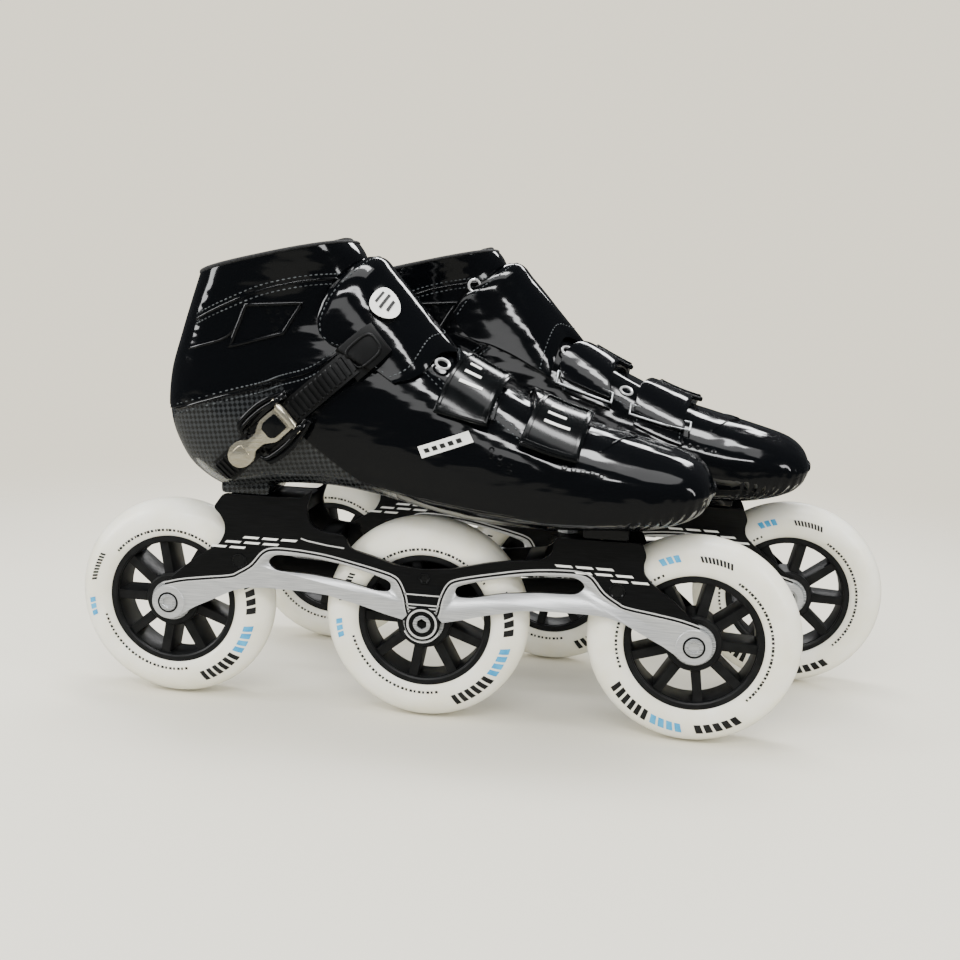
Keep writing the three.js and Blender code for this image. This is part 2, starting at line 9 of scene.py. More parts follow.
import bpy
import numpy as np
from mathutils import Matrix, Vector
from mathutils.bvhtree import BVHTree
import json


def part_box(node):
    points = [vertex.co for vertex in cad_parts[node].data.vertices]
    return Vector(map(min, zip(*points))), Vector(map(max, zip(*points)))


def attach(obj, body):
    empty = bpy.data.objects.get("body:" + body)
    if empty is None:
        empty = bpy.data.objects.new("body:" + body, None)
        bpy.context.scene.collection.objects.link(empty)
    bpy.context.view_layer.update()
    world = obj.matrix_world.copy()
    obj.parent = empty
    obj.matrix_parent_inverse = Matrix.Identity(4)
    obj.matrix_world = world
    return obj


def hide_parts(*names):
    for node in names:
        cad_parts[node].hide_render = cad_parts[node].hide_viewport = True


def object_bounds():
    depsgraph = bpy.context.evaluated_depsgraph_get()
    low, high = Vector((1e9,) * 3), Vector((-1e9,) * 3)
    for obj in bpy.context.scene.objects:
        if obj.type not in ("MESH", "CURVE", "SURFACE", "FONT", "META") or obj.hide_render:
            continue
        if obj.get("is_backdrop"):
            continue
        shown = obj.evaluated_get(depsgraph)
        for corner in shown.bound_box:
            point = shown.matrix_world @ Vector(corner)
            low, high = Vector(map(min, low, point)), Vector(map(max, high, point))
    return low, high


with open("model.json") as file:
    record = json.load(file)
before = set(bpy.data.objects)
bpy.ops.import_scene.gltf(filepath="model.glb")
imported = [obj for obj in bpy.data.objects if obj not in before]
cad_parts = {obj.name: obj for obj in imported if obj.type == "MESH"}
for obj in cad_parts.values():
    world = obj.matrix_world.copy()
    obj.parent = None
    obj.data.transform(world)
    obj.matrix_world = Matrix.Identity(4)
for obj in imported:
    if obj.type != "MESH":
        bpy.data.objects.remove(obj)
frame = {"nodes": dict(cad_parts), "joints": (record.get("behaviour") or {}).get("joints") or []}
cad_low, cad_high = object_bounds()
MM = 0.001
SIDES = ("right", "left")
WHEELS = ("rear", "middle", "front")
print("nodes", len(frame["nodes"]), "box", cad_low, cad_high)

# %% [markdown]
# ## Where each skate stands
# A skate has its own axes: X to the toe, Y to the inner side of the foot, Z up, with zero on the ground under
# its middle wheel. The matrix of the left skate mirrors Y, so one piece serves both feet.


# %% Skate axes
def middle(node):
    low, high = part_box(node)
    return (low + high) / 2


def skate_matrix(side):
    centre = middle(f"{side}_middle_tyre")
    ahead = (middle(f"{side}_front_tyre") - centre).normalized()
    inward = Vector((0, 0, 1)).cross(ahead) * (1 if side == "right" else -1)
    axes = Matrix((ahead, inward, (0, 0, 1))).transposed().to_4x4()
    axes.translation = (centre.x, centre.y, 0)
    return axes


SKATE = {side: skate_matrix(side) for side in SIDES}
tyre_low, tyre_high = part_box("right_middle_tyre")
WHEEL_RADIUS = (tyre_high.z - tyre_low.z) / 2 / MM
WHEEL_TOP = round(2 * WHEEL_RADIUS, 1)
PITCH = (middle("right_front_tyre") - middle("right_middle_tyre")).length / MM
print("wheel radius", WHEEL_RADIUS, "pitch", PITCH)

# %% [markdown]
# ## Making and placing a piece
# A flat primitive grid bent over a rule is a quick way to any skin: the rule says where each point of the
# grid goes. Outlines start from a primitive circle whose points are moved to the outline, then extruded.


# %% Shape helpers
def deselect():
    if bpy.context.object and bpy.context.object.mode != "OBJECT":
        bpy.ops.object.mode_set(mode="OBJECT")
    bpy.ops.object.select_all(action="DESELECT")


def only(piece):
    deselect()
    piece.select_set(True)
    bpy.context.view_layer.objects.active = piece


def edit(piece, *steps):
    only(piece)
    bpy.ops.object.mode_set(mode="EDIT")
    bpy.ops.mesh.select_all(action="SELECT")
    for step in steps:
        step()
    bpy.ops.object.mode_set(mode="OBJECT")


def merge():
    bpy.ops.mesh.remove_doubles(threshold=2e-6)


def outward():
    bpy.ops.mesh.normals_make_consistent(inside=False)


def modifier(piece, kind, **settings):
    only(piece)
    added = piece.modifiers.new(kind, kind)
    for key, value in settings.items():
        setattr(added, key, value)
    bpy.ops.object.modifier_apply(modifier=added.name)


def bevel(piece, width, angle=50, segments=2):
    modifier(piece, "BEVEL", width=width * MM, segments=segments, limit_method="ANGLE",
             angle_limit=math.radians(angle))


def smooth(piece, angle=35):
    only(piece)
    bpy.ops.object.shade_smooth_by_angle(angle=math.radians(angle))


def bent_grid(rule, across, along, wall=0.0, round_edge=0.0, angle=35):
    """A grid bent so that its point (a, b), each from 0 to 1, lies at rule(a, b), in millimetres."""
    deselect()
    bpy.ops.mesh.primitive_grid_add(x_subdivisions=across, y_subdivisions=along, size=1)
    piece = bpy.context.object
    for vertex in piece.data.vertices:
        vertex.co = Vector(rule(vertex.co.x + 0.5, vertex.co.y + 0.5)) * MM
    edit(piece, merge, outward)
    if wall:
        modifier(piece, "SOLIDIFY", thickness=wall * MM, offset=-1)
    if round_edge:
        bevel(piece, round_edge)
    smooth(piece, angle)
    return piece


def plate(outline, low, high, round_edge=0.4):
    """An outline in X and Z, in millimetres, made solid between two places on Y."""
    deselect()
    bpy.ops.mesh.primitive_circle_add(vertices=len(outline), fill_type="NGON")
    piece = bpy.context.object
    for vertex, (x, z) in zip(piece.data.vertices, outline):
        vertex.co = Vector((x, low, z)) * MM
    depth = (0, (high - low) * MM, 0)
    edit(piece, lambda: bpy.ops.mesh.extrude_region_move(TRANSFORM_OT_translate={"value": depth}),
         lambda: bpy.ops.mesh.select_all(action="SELECT"), outward)
    if round_edge:
        bevel(piece, round_edge, 40)
    smooth(piece, 30)
    return piece


def round_bar(radius, depth, vertices, place=(0, 0, 0)):
    """A solid cylinder along Y, in millimetres, with its middle at a place."""
    deselect()
    bpy.ops.mesh.primitive_cylinder_add(vertices=vertices, radius=radius * MM, depth=depth * MM,
                                        rotation=(math.pi / 2, 0, 0))
    piece = bpy.context.object
    bpy.ops.object.transform_apply(location=True, rotation=True, scale=True)
    piece.data.transform(Matrix.Translation([part * MM for part in place]))
    return piece


def turned(profile, steps=96):
    """A closed profile of (radius, place along Y) pairs, turned round Y."""
    ring = profile + [profile[0]]

    def rule(a, b):
        spot = b * (len(ring) - 1)
        i = min(int(spot), len(ring) - 2)
        radius = ring[i][0] + (ring[i + 1][0] - ring[i][0]) * (spot - i)
        place = ring[i][1] + (ring[i + 1][1] - ring[i][1]) * (spot - i)
        return (radius * math.cos(2 * math.pi * a), place, radius * math.sin(2 * math.pi * a))
    return bent_grid(rule, steps, len(profile), angle=40)


def tube(path, radius, sides=8, closed=False):
    """A round wire along a list of points, in millimetres."""
    points = [Vector(p) for p in path]
    count = len(points)
    rings = []
    for i, point in enumerate(points):
        before = points[(i - 1) % count] if closed else points[max(i - 1, 0)]
        after = points[(i + 1) % count] if closed else points[min(i + 1, count - 1)]
        ahead = (after - before).normalized()
        up = Vector((0.13, 0.21, 0.97)).cross(ahead).normalized()
        rings.append((point, up, ahead.cross(up)))
    if closed:
        rings.append(rings[0])

    def rule(a, b):
        point, up, aside = rings[round(b * (len(rings) - 1))]
        turn = 2 * math.pi * a
        return point + radius * (math.cos(turn) * up + math.sin(turn) * aside)
    piece = bent_grid(rule, sides, len(rings) - 1, angle=60)
    if not closed:
        edit(piece, lambda: bpy.ops.mesh.select_all(action="DESELECT"), bpy.ops.mesh.select_non_manifold,
             lambda: bpy.ops.mesh.fill_holes(sides=0))
    return piece


def join(pieces):
    only(pieces[0])
    for piece in pieces[1:]:
        piece.select_set(True)
    if len(pieces) > 1:
        bpy.ops.object.join()
    return bpy.context.object


def cut(piece, cutter, operation="DIFFERENCE"):
    modifier(piece, "BOOLEAN", operation=operation, object=cutter, solver="EXACT")
    bpy.data.objects.remove(cutter)


def duplicate(piece):
    copy = piece.copy()
    copy.data = piece.data.copy()
    bpy.context.collection.objects.link(copy)
    return copy


def side_map(piece):
    """A UV map of the side view, in metres from the skate's own zero, the same on both skates."""
    layer = piece.data.uv_layers.get("side") or piece.data.uv_layers.new(name="side")
    for loop in piece.data.loops:
        spot = piece.data.vertices[loop.vertex_index].co
        layer.data[loop.index].uv = (spot.x, spot.z)


def put(piece, name, material, body="skate", nodes=(), at=None, sides=SIDES):
    """Copies a piece to both skates. body and nodes are named without their side."""
    side_map(piece)
    for side in sides:
        copy = duplicate(piece)
        copy.name = f"{side}_{name}"
        copy.data.transform(SKATE[side] @ (at or Matrix()))
        if side == "left":
            copy.data.flip_normals()
        if material:
            copy.data.materials.clear()
            copy.data.materials.append(material)
        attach(copy, f"{side}_{body}")
        if nodes:
            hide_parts(*[f"{side}_{node}" for node in nodes])
    bpy.data.objects.remove(piece)


print("helpers ready")

# %% [markdown]
# ## Finishes
# Each finish starts as a Principled shader with typical values for the real material. Colours are given as
# screen hex values and turned to linear. Patterns are scaled from sizes in millimetres.


# %% Finish helpers
def linear(hex_value):
    parts = [int(hex_value[i:i + 2], 16) / 255 for i in (1, 3, 5)]
    return tuple(p / 12.92 if p < 0.04045 else ((p + 0.055) / 1.055) ** 2.4 for p in parts) + (1,)


def add(material, kind, settings=None, links=None, **attributes):
    """Adds one node, with values for its sockets and links into them."""
    made = material.node_tree.nodes.new(kind)
    for key, value in attributes.items():
        setattr(made, key, value)
    for key, value in (settings or {}).items():
        made.inputs[key].default_value = value
    for key, source in (links or {}).items():
        material.node_tree.links.new(source, made.inputs[key])
    return made


def finish(name, colour, roughness, **more):
    material = bpy.data.materials.new(name)
    material.use_nodes = True
    shader = material.node_tree.nodes["Principled BSDF"]
    shader.inputs["Base Color"].default_value = linear(colour)
    shader.inputs["Roughness"].default_value = roughness
    for key, value in more.items():
        shader.inputs[key.replace("_", " ")].default_value = value
    return material, shader


def coordinates(material, stretch=(1, 1, 1), uv=None):
    if uv:
        source = add(material, "ShaderNodeUVMap", uv_map=uv).outputs["UV"]
    else:
        source = add(material, "ShaderNodeTexCoord").outputs["Object"]
    return add(material, "ShaderNodeMapping", {"Scale": stretch}, {"Vector": source}).outputs["Vector"]


def bump(material, shader, height, strength, depth_mm):
    made = add(material, "ShaderNodeBump", {"Strength": strength, "Distance": depth_mm * MM},
               {"Height": height})
    material.node_tree.links.new(made.outputs["Normal"], shader.inputs["Normal"])


def noise(material, size_mm, stretch=(1, 1, 1), detail=3.0):
    return add(material, "ShaderNodeTexNoise", {"Scale": 1 / (size_mm * MM), "Detail": detail},
               {"Vector": coordinates(material, stretch)}).outputs["Fac"]


def shade(material, factor, low, high):
    """A colour between two hex values, chosen by a pattern."""
    ramp = add(material, "ShaderNodeValToRGB", None, {"Fac": factor})
    ramp.color_ramp.elements[0].color = linear(low)
    ramp.color_ramp.elements[0].position = 0.35
    ramp.color_ramp.elements[1].color = linear(high)
    ramp.color_ramp.elements[1].position = 0.65
    return ramp.outputs["Color"]


def vary(material, shader, factor, low, high, socket="Roughness"):
    made = add(material, "ShaderNodeMapRange", {"To Min": low, "To Max": high}, {"Value": factor})
    material.node_tree.links.new(made.outputs["Result"], shader.inputs[socket])


def colour_by(material, shader, factor, low, high):
    material.node_tree.links.new(shade(material, factor, low, high), shader.inputs["Base Color"])


print("finish helpers ready")


# %% Patent synthetic
# Polyurethane-coated microfibre: a hard clear skin, mirror bright, with broad soft creases of 26 to 30 mm.
def patent_synthetic(name, crease_mm, strength):
    material, shader = finish(name, "#050608", 0.08, Specular_IOR_Level=0.5)
    broad = noise(material, crease_mm, (1, 1, 0.6), 0.6)
    folds = noise(material, crease_mm * 0.35, (0.5, 1, 1.4), 1.0)
    both = add(material, "ShaderNodeMath", {1: 0.2}, {0: folds}, operation="MULTIPLY")
    total = add(material, "ShaderNodeMath", None, {0: broad, 1: both.outputs[0]}, operation="ADD")
    bump(material, shader, total.outputs[0], strength, 5.5)
    vary(material, shader, noise(material, 9), 0.05, 0.13)
    return material


PATENT = patent_synthetic("patent synthetic", 30, 0.5)
PATENT_STRAP = patent_synthetic("patent strap leather", 26, 0.22)


# %% Carbon twill
# Woven 3k carbon under clear lacquer. Threads show as 1.9 mm checks. Their colour alternates dark and light,
# which is the weave's pattern with a painted sheen for the light that each tow catches.
def carbon_twill():
    material, shader = finish("lacquered carbon twill", "#2A2C2E", 0.3, Coat_Weight=0.8,
                              Coat_Roughness=0.06)
    thread = 1.9 * MM
    spots = coordinates(material, (1 / thread, 1 / thread, 1), uv="side")
    turned_spots = add(material, "ShaderNodeMapping", {"Rotation": (0, 0, math.radians(38))},
                       {"Vector": spots})
    checks = add(material, "ShaderNodeTexChecker", {"Scale": 1.0},
                 {"Vector": turned_spots.outputs["Vector"]})
    # The checks' two colours are partly the weave pattern and partly painted sheen.
    colour_by(material, shader, checks.outputs["Fac"], "#0F1112", "#2E3134")
    vary(material, shader, checks.outputs["Fac"], 0.22, 0.42)
    bump(material, shader, checks.outputs["Fac"], 0.25, 0.2)
    shader.inputs["Metallic"].default_value = 0.2
    return material


CARBON = carbon_twill()


# %% Plastics and rubber
# Injection-moulded plastics carry a fine spark-eroded grain, 0.6 mm unless a plastic states its own.
def moulded(name, low, high, roughness, grain_mm=0.6, strength=0.15):
    material, shader = finish(name, low, roughness, Specular_IOR_Level=0.35)
    grain = noise(material, grain_mm)
    colour_by(material, shader, noise(material, 6), low, high)
    bump(material, shader, grain, strength, 0.12)
    vary(material, shader, noise(material, 4), roughness * 0.85, roughness * 1.15)
    return material


HUB = moulded("moulded nylon", "#0D0E0F", "#151617", 0.42)
STRAP_PLASTIC = moulded("flexible strap plastic", "#08090A", "#0E0F10", 0.44)
BUCKLE_PLASTIC = moulded("glossy buckle plastic", "#07080A", "#0C0D0E", 0.14, 0.6, 0.05)
STRAP_RUBBER = moulded("moulded strap rubber", "#050607", "#0A0C0D", 0.15, 2.4, 0.12)
PRINT_BLACK = moulded("black ink", "#151515", "#222222", 0.45)
PRINT_BLUE = moulded("blue ink", "#2592CC", "#45ABDD", 0.4)
PRINT_WHITE = moulded("white ink", "#E6E6E2", "#F4F4F1", 0.4)


# %% Cast polyurethane
# Cast tyre urethane is milky: light goes a few millimetres in, so its edges glow softly.
def urethane():
    material, shader = finish("cast polyurethane", "#F0EEE0", 0.34, Subsurface_Weight=0.25,
                              Subsurface_Scale=4 * MM, Coat_Weight=0.15)
    shader.inputs["Subsurface Radius"].default_value = (1.0, 0.9, 0.7)
    colour_by(material, shader, noise(material, 18), "#EEEBDA", "#F6F4E9")
    vary(material, shader, noise(material, 3), 0.28, 0.42)
    bump(material, shader, noise(material, 0.9), 0.06, 0.1)
    return material


URETHANE = urethane()


# %% Metals
# Brushed faces have scratches along the frame, so the noise is stretched 33 times along X.
def brushed(name, low, high, roughness, metallic=0.7, strength=0.12):
    material, shader = finish(name, low, roughness, Metallic=metallic)
    lines = noise(material, 0.35, (0.03, 1, 1), 3.0)
    colour_by(material, shader, lines, low, high)
    vary(material, shader, lines, roughness * 0.8, roughness * 1.3)
    bump(material, shader, lines, strength, 0.05)
    return material


BARE_ALLOY = brushed("brushed aluminium", "#CDCFD1", "#E8E9EA", 0.34, 0.6, 0.08)
BLACK_ANODISED = brushed("black anodised aluminium", "#0D0E0F", "#17181A", 0.36, 0.55, 0.08)
BRIGHT_LINE = brushed("machined bright edge", "#DEDFE0", "#F6F6F6", 0.2, 0.55)
STEEL = brushed("zinc plated steel", "#B4B7BA", "#D8DADC", 0.26, 0.65)
PLATED = brushed("warm nickel plate", "#E2D8BA", "#F8F2E0", 0.12, 0.88, 0.03)


# %% Lining cloth
# Knitted spacer mesh, with a stitch about 1.2 mm wide and the soft edge glow of short fibres.
def lining_mesh():
    material, shader = finish("knitted lining mesh", "#0C0D0E", 0.9, Sheen_Weight=0.06, Sheen_Roughness=0.5)
    stitches = add(material, "ShaderNodeTexVoronoi", {"Scale": 1 / (1.2 * MM)},
                   {"Vector": coordinates(material)})
    colour_by(material, shader, stitches.outputs["Distance"], "#060708", "#141516")
    bump(material, shader, stitches.outputs["Distance"], 0.6, 0.4)
    return material


LINING = lining_mesh()
THREAD = moulded("waxed thread", "#2C2F31", "#54585B", 0.4, 0.4, 0.3)
print("finishes", len(bpy.data.materials))

# %% [markdown]
# ## The boot's skin
# A boot is drawn by sections: each runs from a point under the sole or up the back to a point on the ridge of
# the foot. A section is a rounded D, flatter below. The same rule gives every strap its bed.

# %% Boot sections
SOLE = [(144.3, 21.5), (139, 14), (129.5, 8.6), (112, 4.2), (88, 2.1), (62, 1.3), (38, 1.3), (16, 3.3),
        (-6, 7.2), (-28, 11.6), (-52, 14.2), (-80, 13.2), (-106, 9.4), (-125.5, 19), (-135.5, 33),
        (-139.8, 49), (-138.2, 69), (-132.4, 88), (-126.4, 105), (-120.5, 121)]
RIDGE = [(145, 25.6), (141.4, 33), (132.6, 39.2), (114, 44.8), (92, 50.4), (68, 57), (45, 67), (23, 77.6),
         (6, 87), (-7, 96), (-17, 104.6), (-25, 112), (-29.5, 116.4), (-32.5, 119.8), (-34.6, 123),
         (-36.4, 127), (-38.2, 131), (-40, 134.4), (-42, 137), (-44, 139)]
BALL, HEEL, CUFF = 46.5, 34.0, 38.0
WIDTH = [0.32 * BALL, 0.62 * BALL, 0.81 * BALL, 0.94 * BALL, 0.99 * BALL, BALL, 0.95 * BALL, 0.88 * BALL,
         1.1 * HEEL, 1.05 * HEEL, 1.02 * HEEL, HEEL, HEEL, 0.99 * HEEL, 0.98 * HEEL, 0.99 * HEEL,
         0.9 * CUFF, 0.93 * CUFF, 0.97 * CUFF, CUFF]
TOE_SHIFT = 6.0


def spline(values, t):
    """A smooth curve through evenly spaced values, with t from 0 to 1."""
    values = np.atleast_2d(np.asarray(values, float).T).T
    spot = min(max(t, 0.0), 1.0) * (len(values) - 1)
    i = min(int(spot), len(values) - 2)
    w = spot - i
    a, b = values[max(i - 1, 0)], values[i]
    c, d = values[i + 1], values[min(i + 2, len(values) - 1)]
    v0, v1 = (c - a) / 2, (d - b) / 2
    return (2 * b - 2 * c + v0 + v1) * w ** 3 + (-3 * b + 3 * c - 2 * v0 - v1) * w ** 2 + v0 * w + b


def power(value, exponent):
    return math.copysign(abs(value) ** exponent, value)


def boot(u, angle, rise=0.0, lift=0.0):
    """A point of the boot: u from toe to collar, angle round the section, rise off the skin, all in mm."""
    sole, ridge = spline(SOLE, u), spline(RIDGE, u)
    along = ridge - sole
    length = math.hypot(*along)
    along = along / length
    if u > 0.9999 and lift:
        sole = sole + lift * np.array((-along[1], along[0]))
        ridge = ridge + lift * np.array((-along[1], along[0]))
    share = min(max((sole[0] - 20) / 130, 0), 1)
    shift = TOE_SHIFT * share * share * (3 - 2 * share)
    lower = 0.55 + 0.27 * min(1, u * 1.4)
    upper = 1 - 0.18 * u
    round_power = lower if math.sin(angle) < 0 else upper
    reach = power(math.sin(angle), round_power) * (length / 2 + rise)
    aside = power(math.cos(angle), round_power) * (spline(WIDTH, u)[0] + rise)
    centre = (sole + ridge) / 2
    return (centre[0] + along[0] * reach, shift - aside, WHEEL_TOP + centre[1] + along[1] * reach)


# %% Finding a place on the boot
TABLE_U = np.linspace(0, 1, 161)
TABLE_ANGLE = np.radians(np.linspace(-90, 90, 91))
TABLE = np.array([[boot(u, a) for a in TABLE_ANGLE] for u in TABLE_U])


def locate(x, z):
    """The (u, angle) of the boot's outer side that a side view shows at x, z, in mm."""
    miss = (TABLE[:, :, 0] - x) ** 2 + (TABLE[:, :, 2] - z) ** 2
    i, j = np.unravel_index(np.argmin(miss), miss.shape)
    return TABLE_U[i], TABLE_ANGLE[j]


def on_side(x, z, rise=0.0, inner=False):
    u, angle = locate(x, z)
    return boot(u, math.pi - angle if inner else angle, rise)


def smooth_path(pairs, count):
    return [tuple(spline(pairs, i / (count - 1))) for i in range(count)]


print("boot point", boot(0.5, 0))

# %% [markdown]
# ## Tyres, hubs, bearings and axle bolts
# A speed wheel is cast: a milky tyre round a black spoked hub. Both are turned shapes, so a profile is swept
# round the axle. The nine windows between the spokes are cut out of the hub's disc.


# %% Wheels
# The tyre's section is a half ellipse that starts where the side is widest, at the belly.
TYRE_BORE, TYRE_HALF, TYRE_BELLY = 35.6, 12.0, 43.0


def tyre():
    steps = [math.radians(9 * i) for i in range(21)]
    crown = [(TYRE_BELLY + (WHEEL_RADIUS - TYRE_BELLY) * math.sin(t), TYRE_HALF * math.cos(t))
             for t in steps]
    foot = [(TYRE_BORE, 9.4), (TYRE_BORE + 1.5, 10.8), (TYRE_BORE + 4, 11.7)]
    return turned(foot + crown + [(radius, -y) for radius, y in foot[::-1]], 120)


def window(index):
    centre = math.pi + (2 * index + 1) * math.pi / 9
    corners = []
    for radius, half in ((31.8, 0.275), (14.6, 0.17)):
        order = (-1, -0.5, 0, 0.5, 1) if radius > 20 else (1, 0, -1)
        corners += [(radius * math.cos(centre + k * half), radius * math.sin(centre + k * half))
                    for k in order]
    return plate(corners, -20, 20, 0)


def hub():
    disc = round_bar(35.5, 16, 96)
    cut(disc, join([window(i) for i in range(9)]))
    bevel(disc, 0.7, 40)
    rim = turned([(32.2, -9.2), (33, -9.7), (35.6, -9.7), (35.6, 9.7), (33, 9.7), (32.2, 9.2)])
    core = turned([(11.3, -11.1), (13.6, -11.1), (14.6, -9.6), (14.6, 9.6), (13.6, 11.1), (11.3, 11.1)])
    piece = join([disc, rim, core])
    smooth(piece, 30)
    return piece


def bearing(low):
    profile = [(4.3, 0), (4.3, 7), (5.8, 7), (6, 6.5), (9.3, 6.5), (9.6, 7), (11, 7), (11, 0)]
    return turned([(r, low + y) for r, y in profile], 48)


def axle_bolt():
    head = round_bar(4.7, 2.4, 48, (0, -15.1, 0))
    cut(head, round_bar(2.9, 4, 6, (0, -16.5, 0)))
    bevel(head, 0.35)
    shaft = turned([(0.5, -14), (3.6, -14), (3.6, 15.2), (3.0, 15.7), (0.5, 15.7)], 32)
    return join([head, shaft])


TYRE, HUB_PIECE, BOLT = tyre(), hub(), axle_bolt()
BEARING = join([bearing(4.2), bearing(-11.2)])
AXLES = {name: (i - 1) * PITCH for i, name in enumerate(WHEELS)}
HUB_TURN = {"rear": 0, "middle": 0, "front": -18}
for name, x in AXLES.items():
    at = Matrix.Translation((x * MM, 0, WHEEL_RADIUS * MM))
    spun = at @ Matrix.Rotation(math.radians(HUB_TURN[name]), 4, "Y")
    for source, word, material, slot, matrix, nodes in (
            (TYRE, "tyre", URETHANE, "tyre", at, ["tyre"]),
            (HUB_PIECE, "hub", HUB, "hub_nylon", spun, ["hub"]),
            (BEARING, "bearings", STEEL, "bearing_steel", at, ["bearing_outer_side", "bearing_inner_side"])):
        replaced = [f"{name}_{node}" for node in nodes]
        put(duplicate(source), f"{name}_cast_{word}", material, f"{name}_wheel", replaced, matrix)
    put(duplicate(BOLT), f"{name}_axle_bolt", STEEL, "skate", [f"{name}_axle"], at)
for source in (TYRE, HUB_PIECE, BEARING, BOLT):
    bpy.data.objects.remove(source)

# %% [markdown]
# ## Prints on the tyres
# Real tyres carry printed bands. Here they are plain bars, ticks and blocks with no letters, laid on the
# tyre's side as thin leaves that follow its curve.


# %% Tyre prints
def tyre_side(radius):
    """How far the tyre's side stands from its middle plane at a radius."""
    if radius < TYRE_BELLY:
        return 11.7 + 0.3 * (radius - 39.6) / 3.4
    beyond = (radius - TYRE_BELLY) / (WHEEL_RADIUS - TYRE_BELLY)
    return TYRE_HALF * math.sqrt(max(1 - beyond ** 2, 0.02))


def leaf(inner, outer, start, end, side, lean=0.0):
    """A printed leaf between two radii and two angles in degrees."""
    def rule(a, b):
        radius = inner + (outer - inner) * a
        turn = math.radians(start + (end - start) * b + lean * a)
        return (radius * math.cos(turn), side * (tyre_side(radius) + 0.12), radius * math.sin(turn))
    return bent_grid(rule, 3, max(2, int(abs(end - start) / 2.5)))


def print_set(side):
    black, blue = [], []
    for start, count, step, width, low, high in (
            (-68, 6, 5.2, 3.4, 42.6, 48.6), (-6, 5, 6.2, 4.4, 43, 48), (148, 9, 2.4, 1.5, 43.6, 46.6)):
        black += [leaf(low, high, start + i * step, start + i * step + width, side, 1.6)
                  for i in range(count)]
    black += [leaf(38.6, 39.9, 36 + i * 3.1, 37.4 + i * 3.1 + 0.5 * (i % 3), side) for i in range(34)]
    black += [leaf(38.6, 39.9, 196 + i * 3.4, 197.5 + i * 3.4 + 0.6 * (i % 2), side) for i in range(26)]
    blue += [leaf(43, 48, -36 + i * 5.6, -32 + i * 5.6, side, 2.0) for i in range(4)]
    blue += [leaf(44, 47.6, 182 + i * 4.6, 185.4 + i * 4.6, side, 1.2) for i in range(3)]
    return black, blue


PRINT_TURN = {"rear": 0, "middle": 0, "front": 80}
for name, x in AXLES.items():
    turn = math.radians(PRINT_TURN[name])
    at = Matrix.Translation((x * MM, 0, WHEEL_RADIUS * MM)) @ Matrix.Rotation(turn, 4, "Y")
    black, blue = [], []
    for side in (-1, 1):
        more_black, more_blue = print_set(side)
        black += more_black
        blue += more_blue
    put(join(black), f"{name}_tyre_print_black", PRINT_BLACK, f"{name}_wheel", (), at)
    put(join(blue), f"{name}_tyre_print_blue", PRINT_BLUE, f"{name}_wheel", (), at)

# %% [markdown]
# ## The frame
# One alloy channel holds three wheels. Its two side plates are milled from thick stock, so their outline is a
# run of soft curves. The lower arms are machined bare, and the rest is black anodised.


# %% Frame outline
def rounded(outline, corner):
    """The outline with each corner turned into a short curve."""
    made = []
    for i, here in enumerate(outline):
        here = Vector(here)
        before, after = Vector(outline[i - 1]), Vector(outline[(i + 1) % len(outline)])
        start = here + (before - here).normalized() * min(corner, 0.45 * (before - here).length)
        end = here + (after - here).normalized() * min(corner, 0.45 * (after - here).length)
        for t in (0, 0.35, 0.65, 1):
            made.append(tuple((1 - t) ** 2 * start + 2 * t * (1 - t) * here + t * t * end))
    return made


def flipped(outline):
    return [(-x, z) for x, z in outline]


R = WHEEL_RADIUS
LOWER = [(10.6, R + 1), (20, R + 3.6), (34, R + 7.5), (44, R + 9.6), (51, R + 11.3), (62, R + 12.3),
         (85, R + 12.5), (95, R + 11.9), (104, R + 9.4), (115, R + 3.7), (125, R - 1.2), (131, R - 5),
         (135, R - 8)]
ARM = [(143, R + 10.2), (127.5, R + 23.8), (118, R + 30.5)]
T = WHEEL_TOP
REAR_MOUNT = [(-111, T - 20), (-108, T - 14), (-108, T - 9), (-110.6, T - 4), (-114.4, T - 0.6),
              (-108.8, T + 7.3), (-66, T + 7.3), (-60, T + 12.3), (-62.5, T + 5), (-63, T + 2.5),
              (-62, T - 4), (-58.8, T - 8), (-52.5, T - 10), (-42.5, T - 10.6)]
SADDLE = [(-39.4, T - 17.7), (-27.5, T - 20.6), (-15, T - 24.4), (0, T - 25.6), (15, T - 24.2),
          (32.5, T - 19.7), (44, T - 17.7)]
TOE_MOUNT = [(61, T - 16), (66, T - 12), (67.5, T - 3.5), (111, T - 3.5), (113.8, T - 10), (112.5, T - 14),
             (113, T - 19), (116, T - 22.5)]
FRAME = (flipped(ARM) + REAR_MOUNT + SADDLE + TOE_MOUNT + ARM[::-1] + LOWER[::-1] + flipped(LOWER))
WINDOW = [(17, R + 21.5), (26, R + 24.5), (42, R + 28.6), (58, R + 30.9), (80, R + 31.4), (84.6, R + 27),
          (80, R + 22.4), (60, R + 21.8), (42, R + 19.8), (25, R + 15.9), (17, R + 16)]
BORDER = [(143, R + 9), (132.5, R + 11.9), (120, R + 14), (105, R + 16.3), (100, R + 18.5),
          (92.5, R + 23.5), (86, R + 31), (80, R + 33), (70, R + 33), (60, R + 32.3), (50, R + 31),
          (37.5, R + 28.5), (26, R + 26), (17, R + 23.5), (13.5, R + 20.6), (10.6, R + 13.8),
          (9.4, R + 7.5), (8.3, R + 4)]
PLATE_IN, PLATE_OUT = 12.7, 15.0


def window_cutters(low, high):
    return join([plate(rounded(shape, 3.5), low, high, 0) for shape in (WINDOW, flipped(WINDOW))])


def side_plate(side):
    low, high = sorted((side * PLATE_IN, side * PLATE_OUT))
    made = plate(rounded(FRAME, 2.2), low, high, 0)
    cut(made, window_cutters(low - 5, high + 5))
    bevel(made, 0.5)
    smooth(made, 35)
    return made


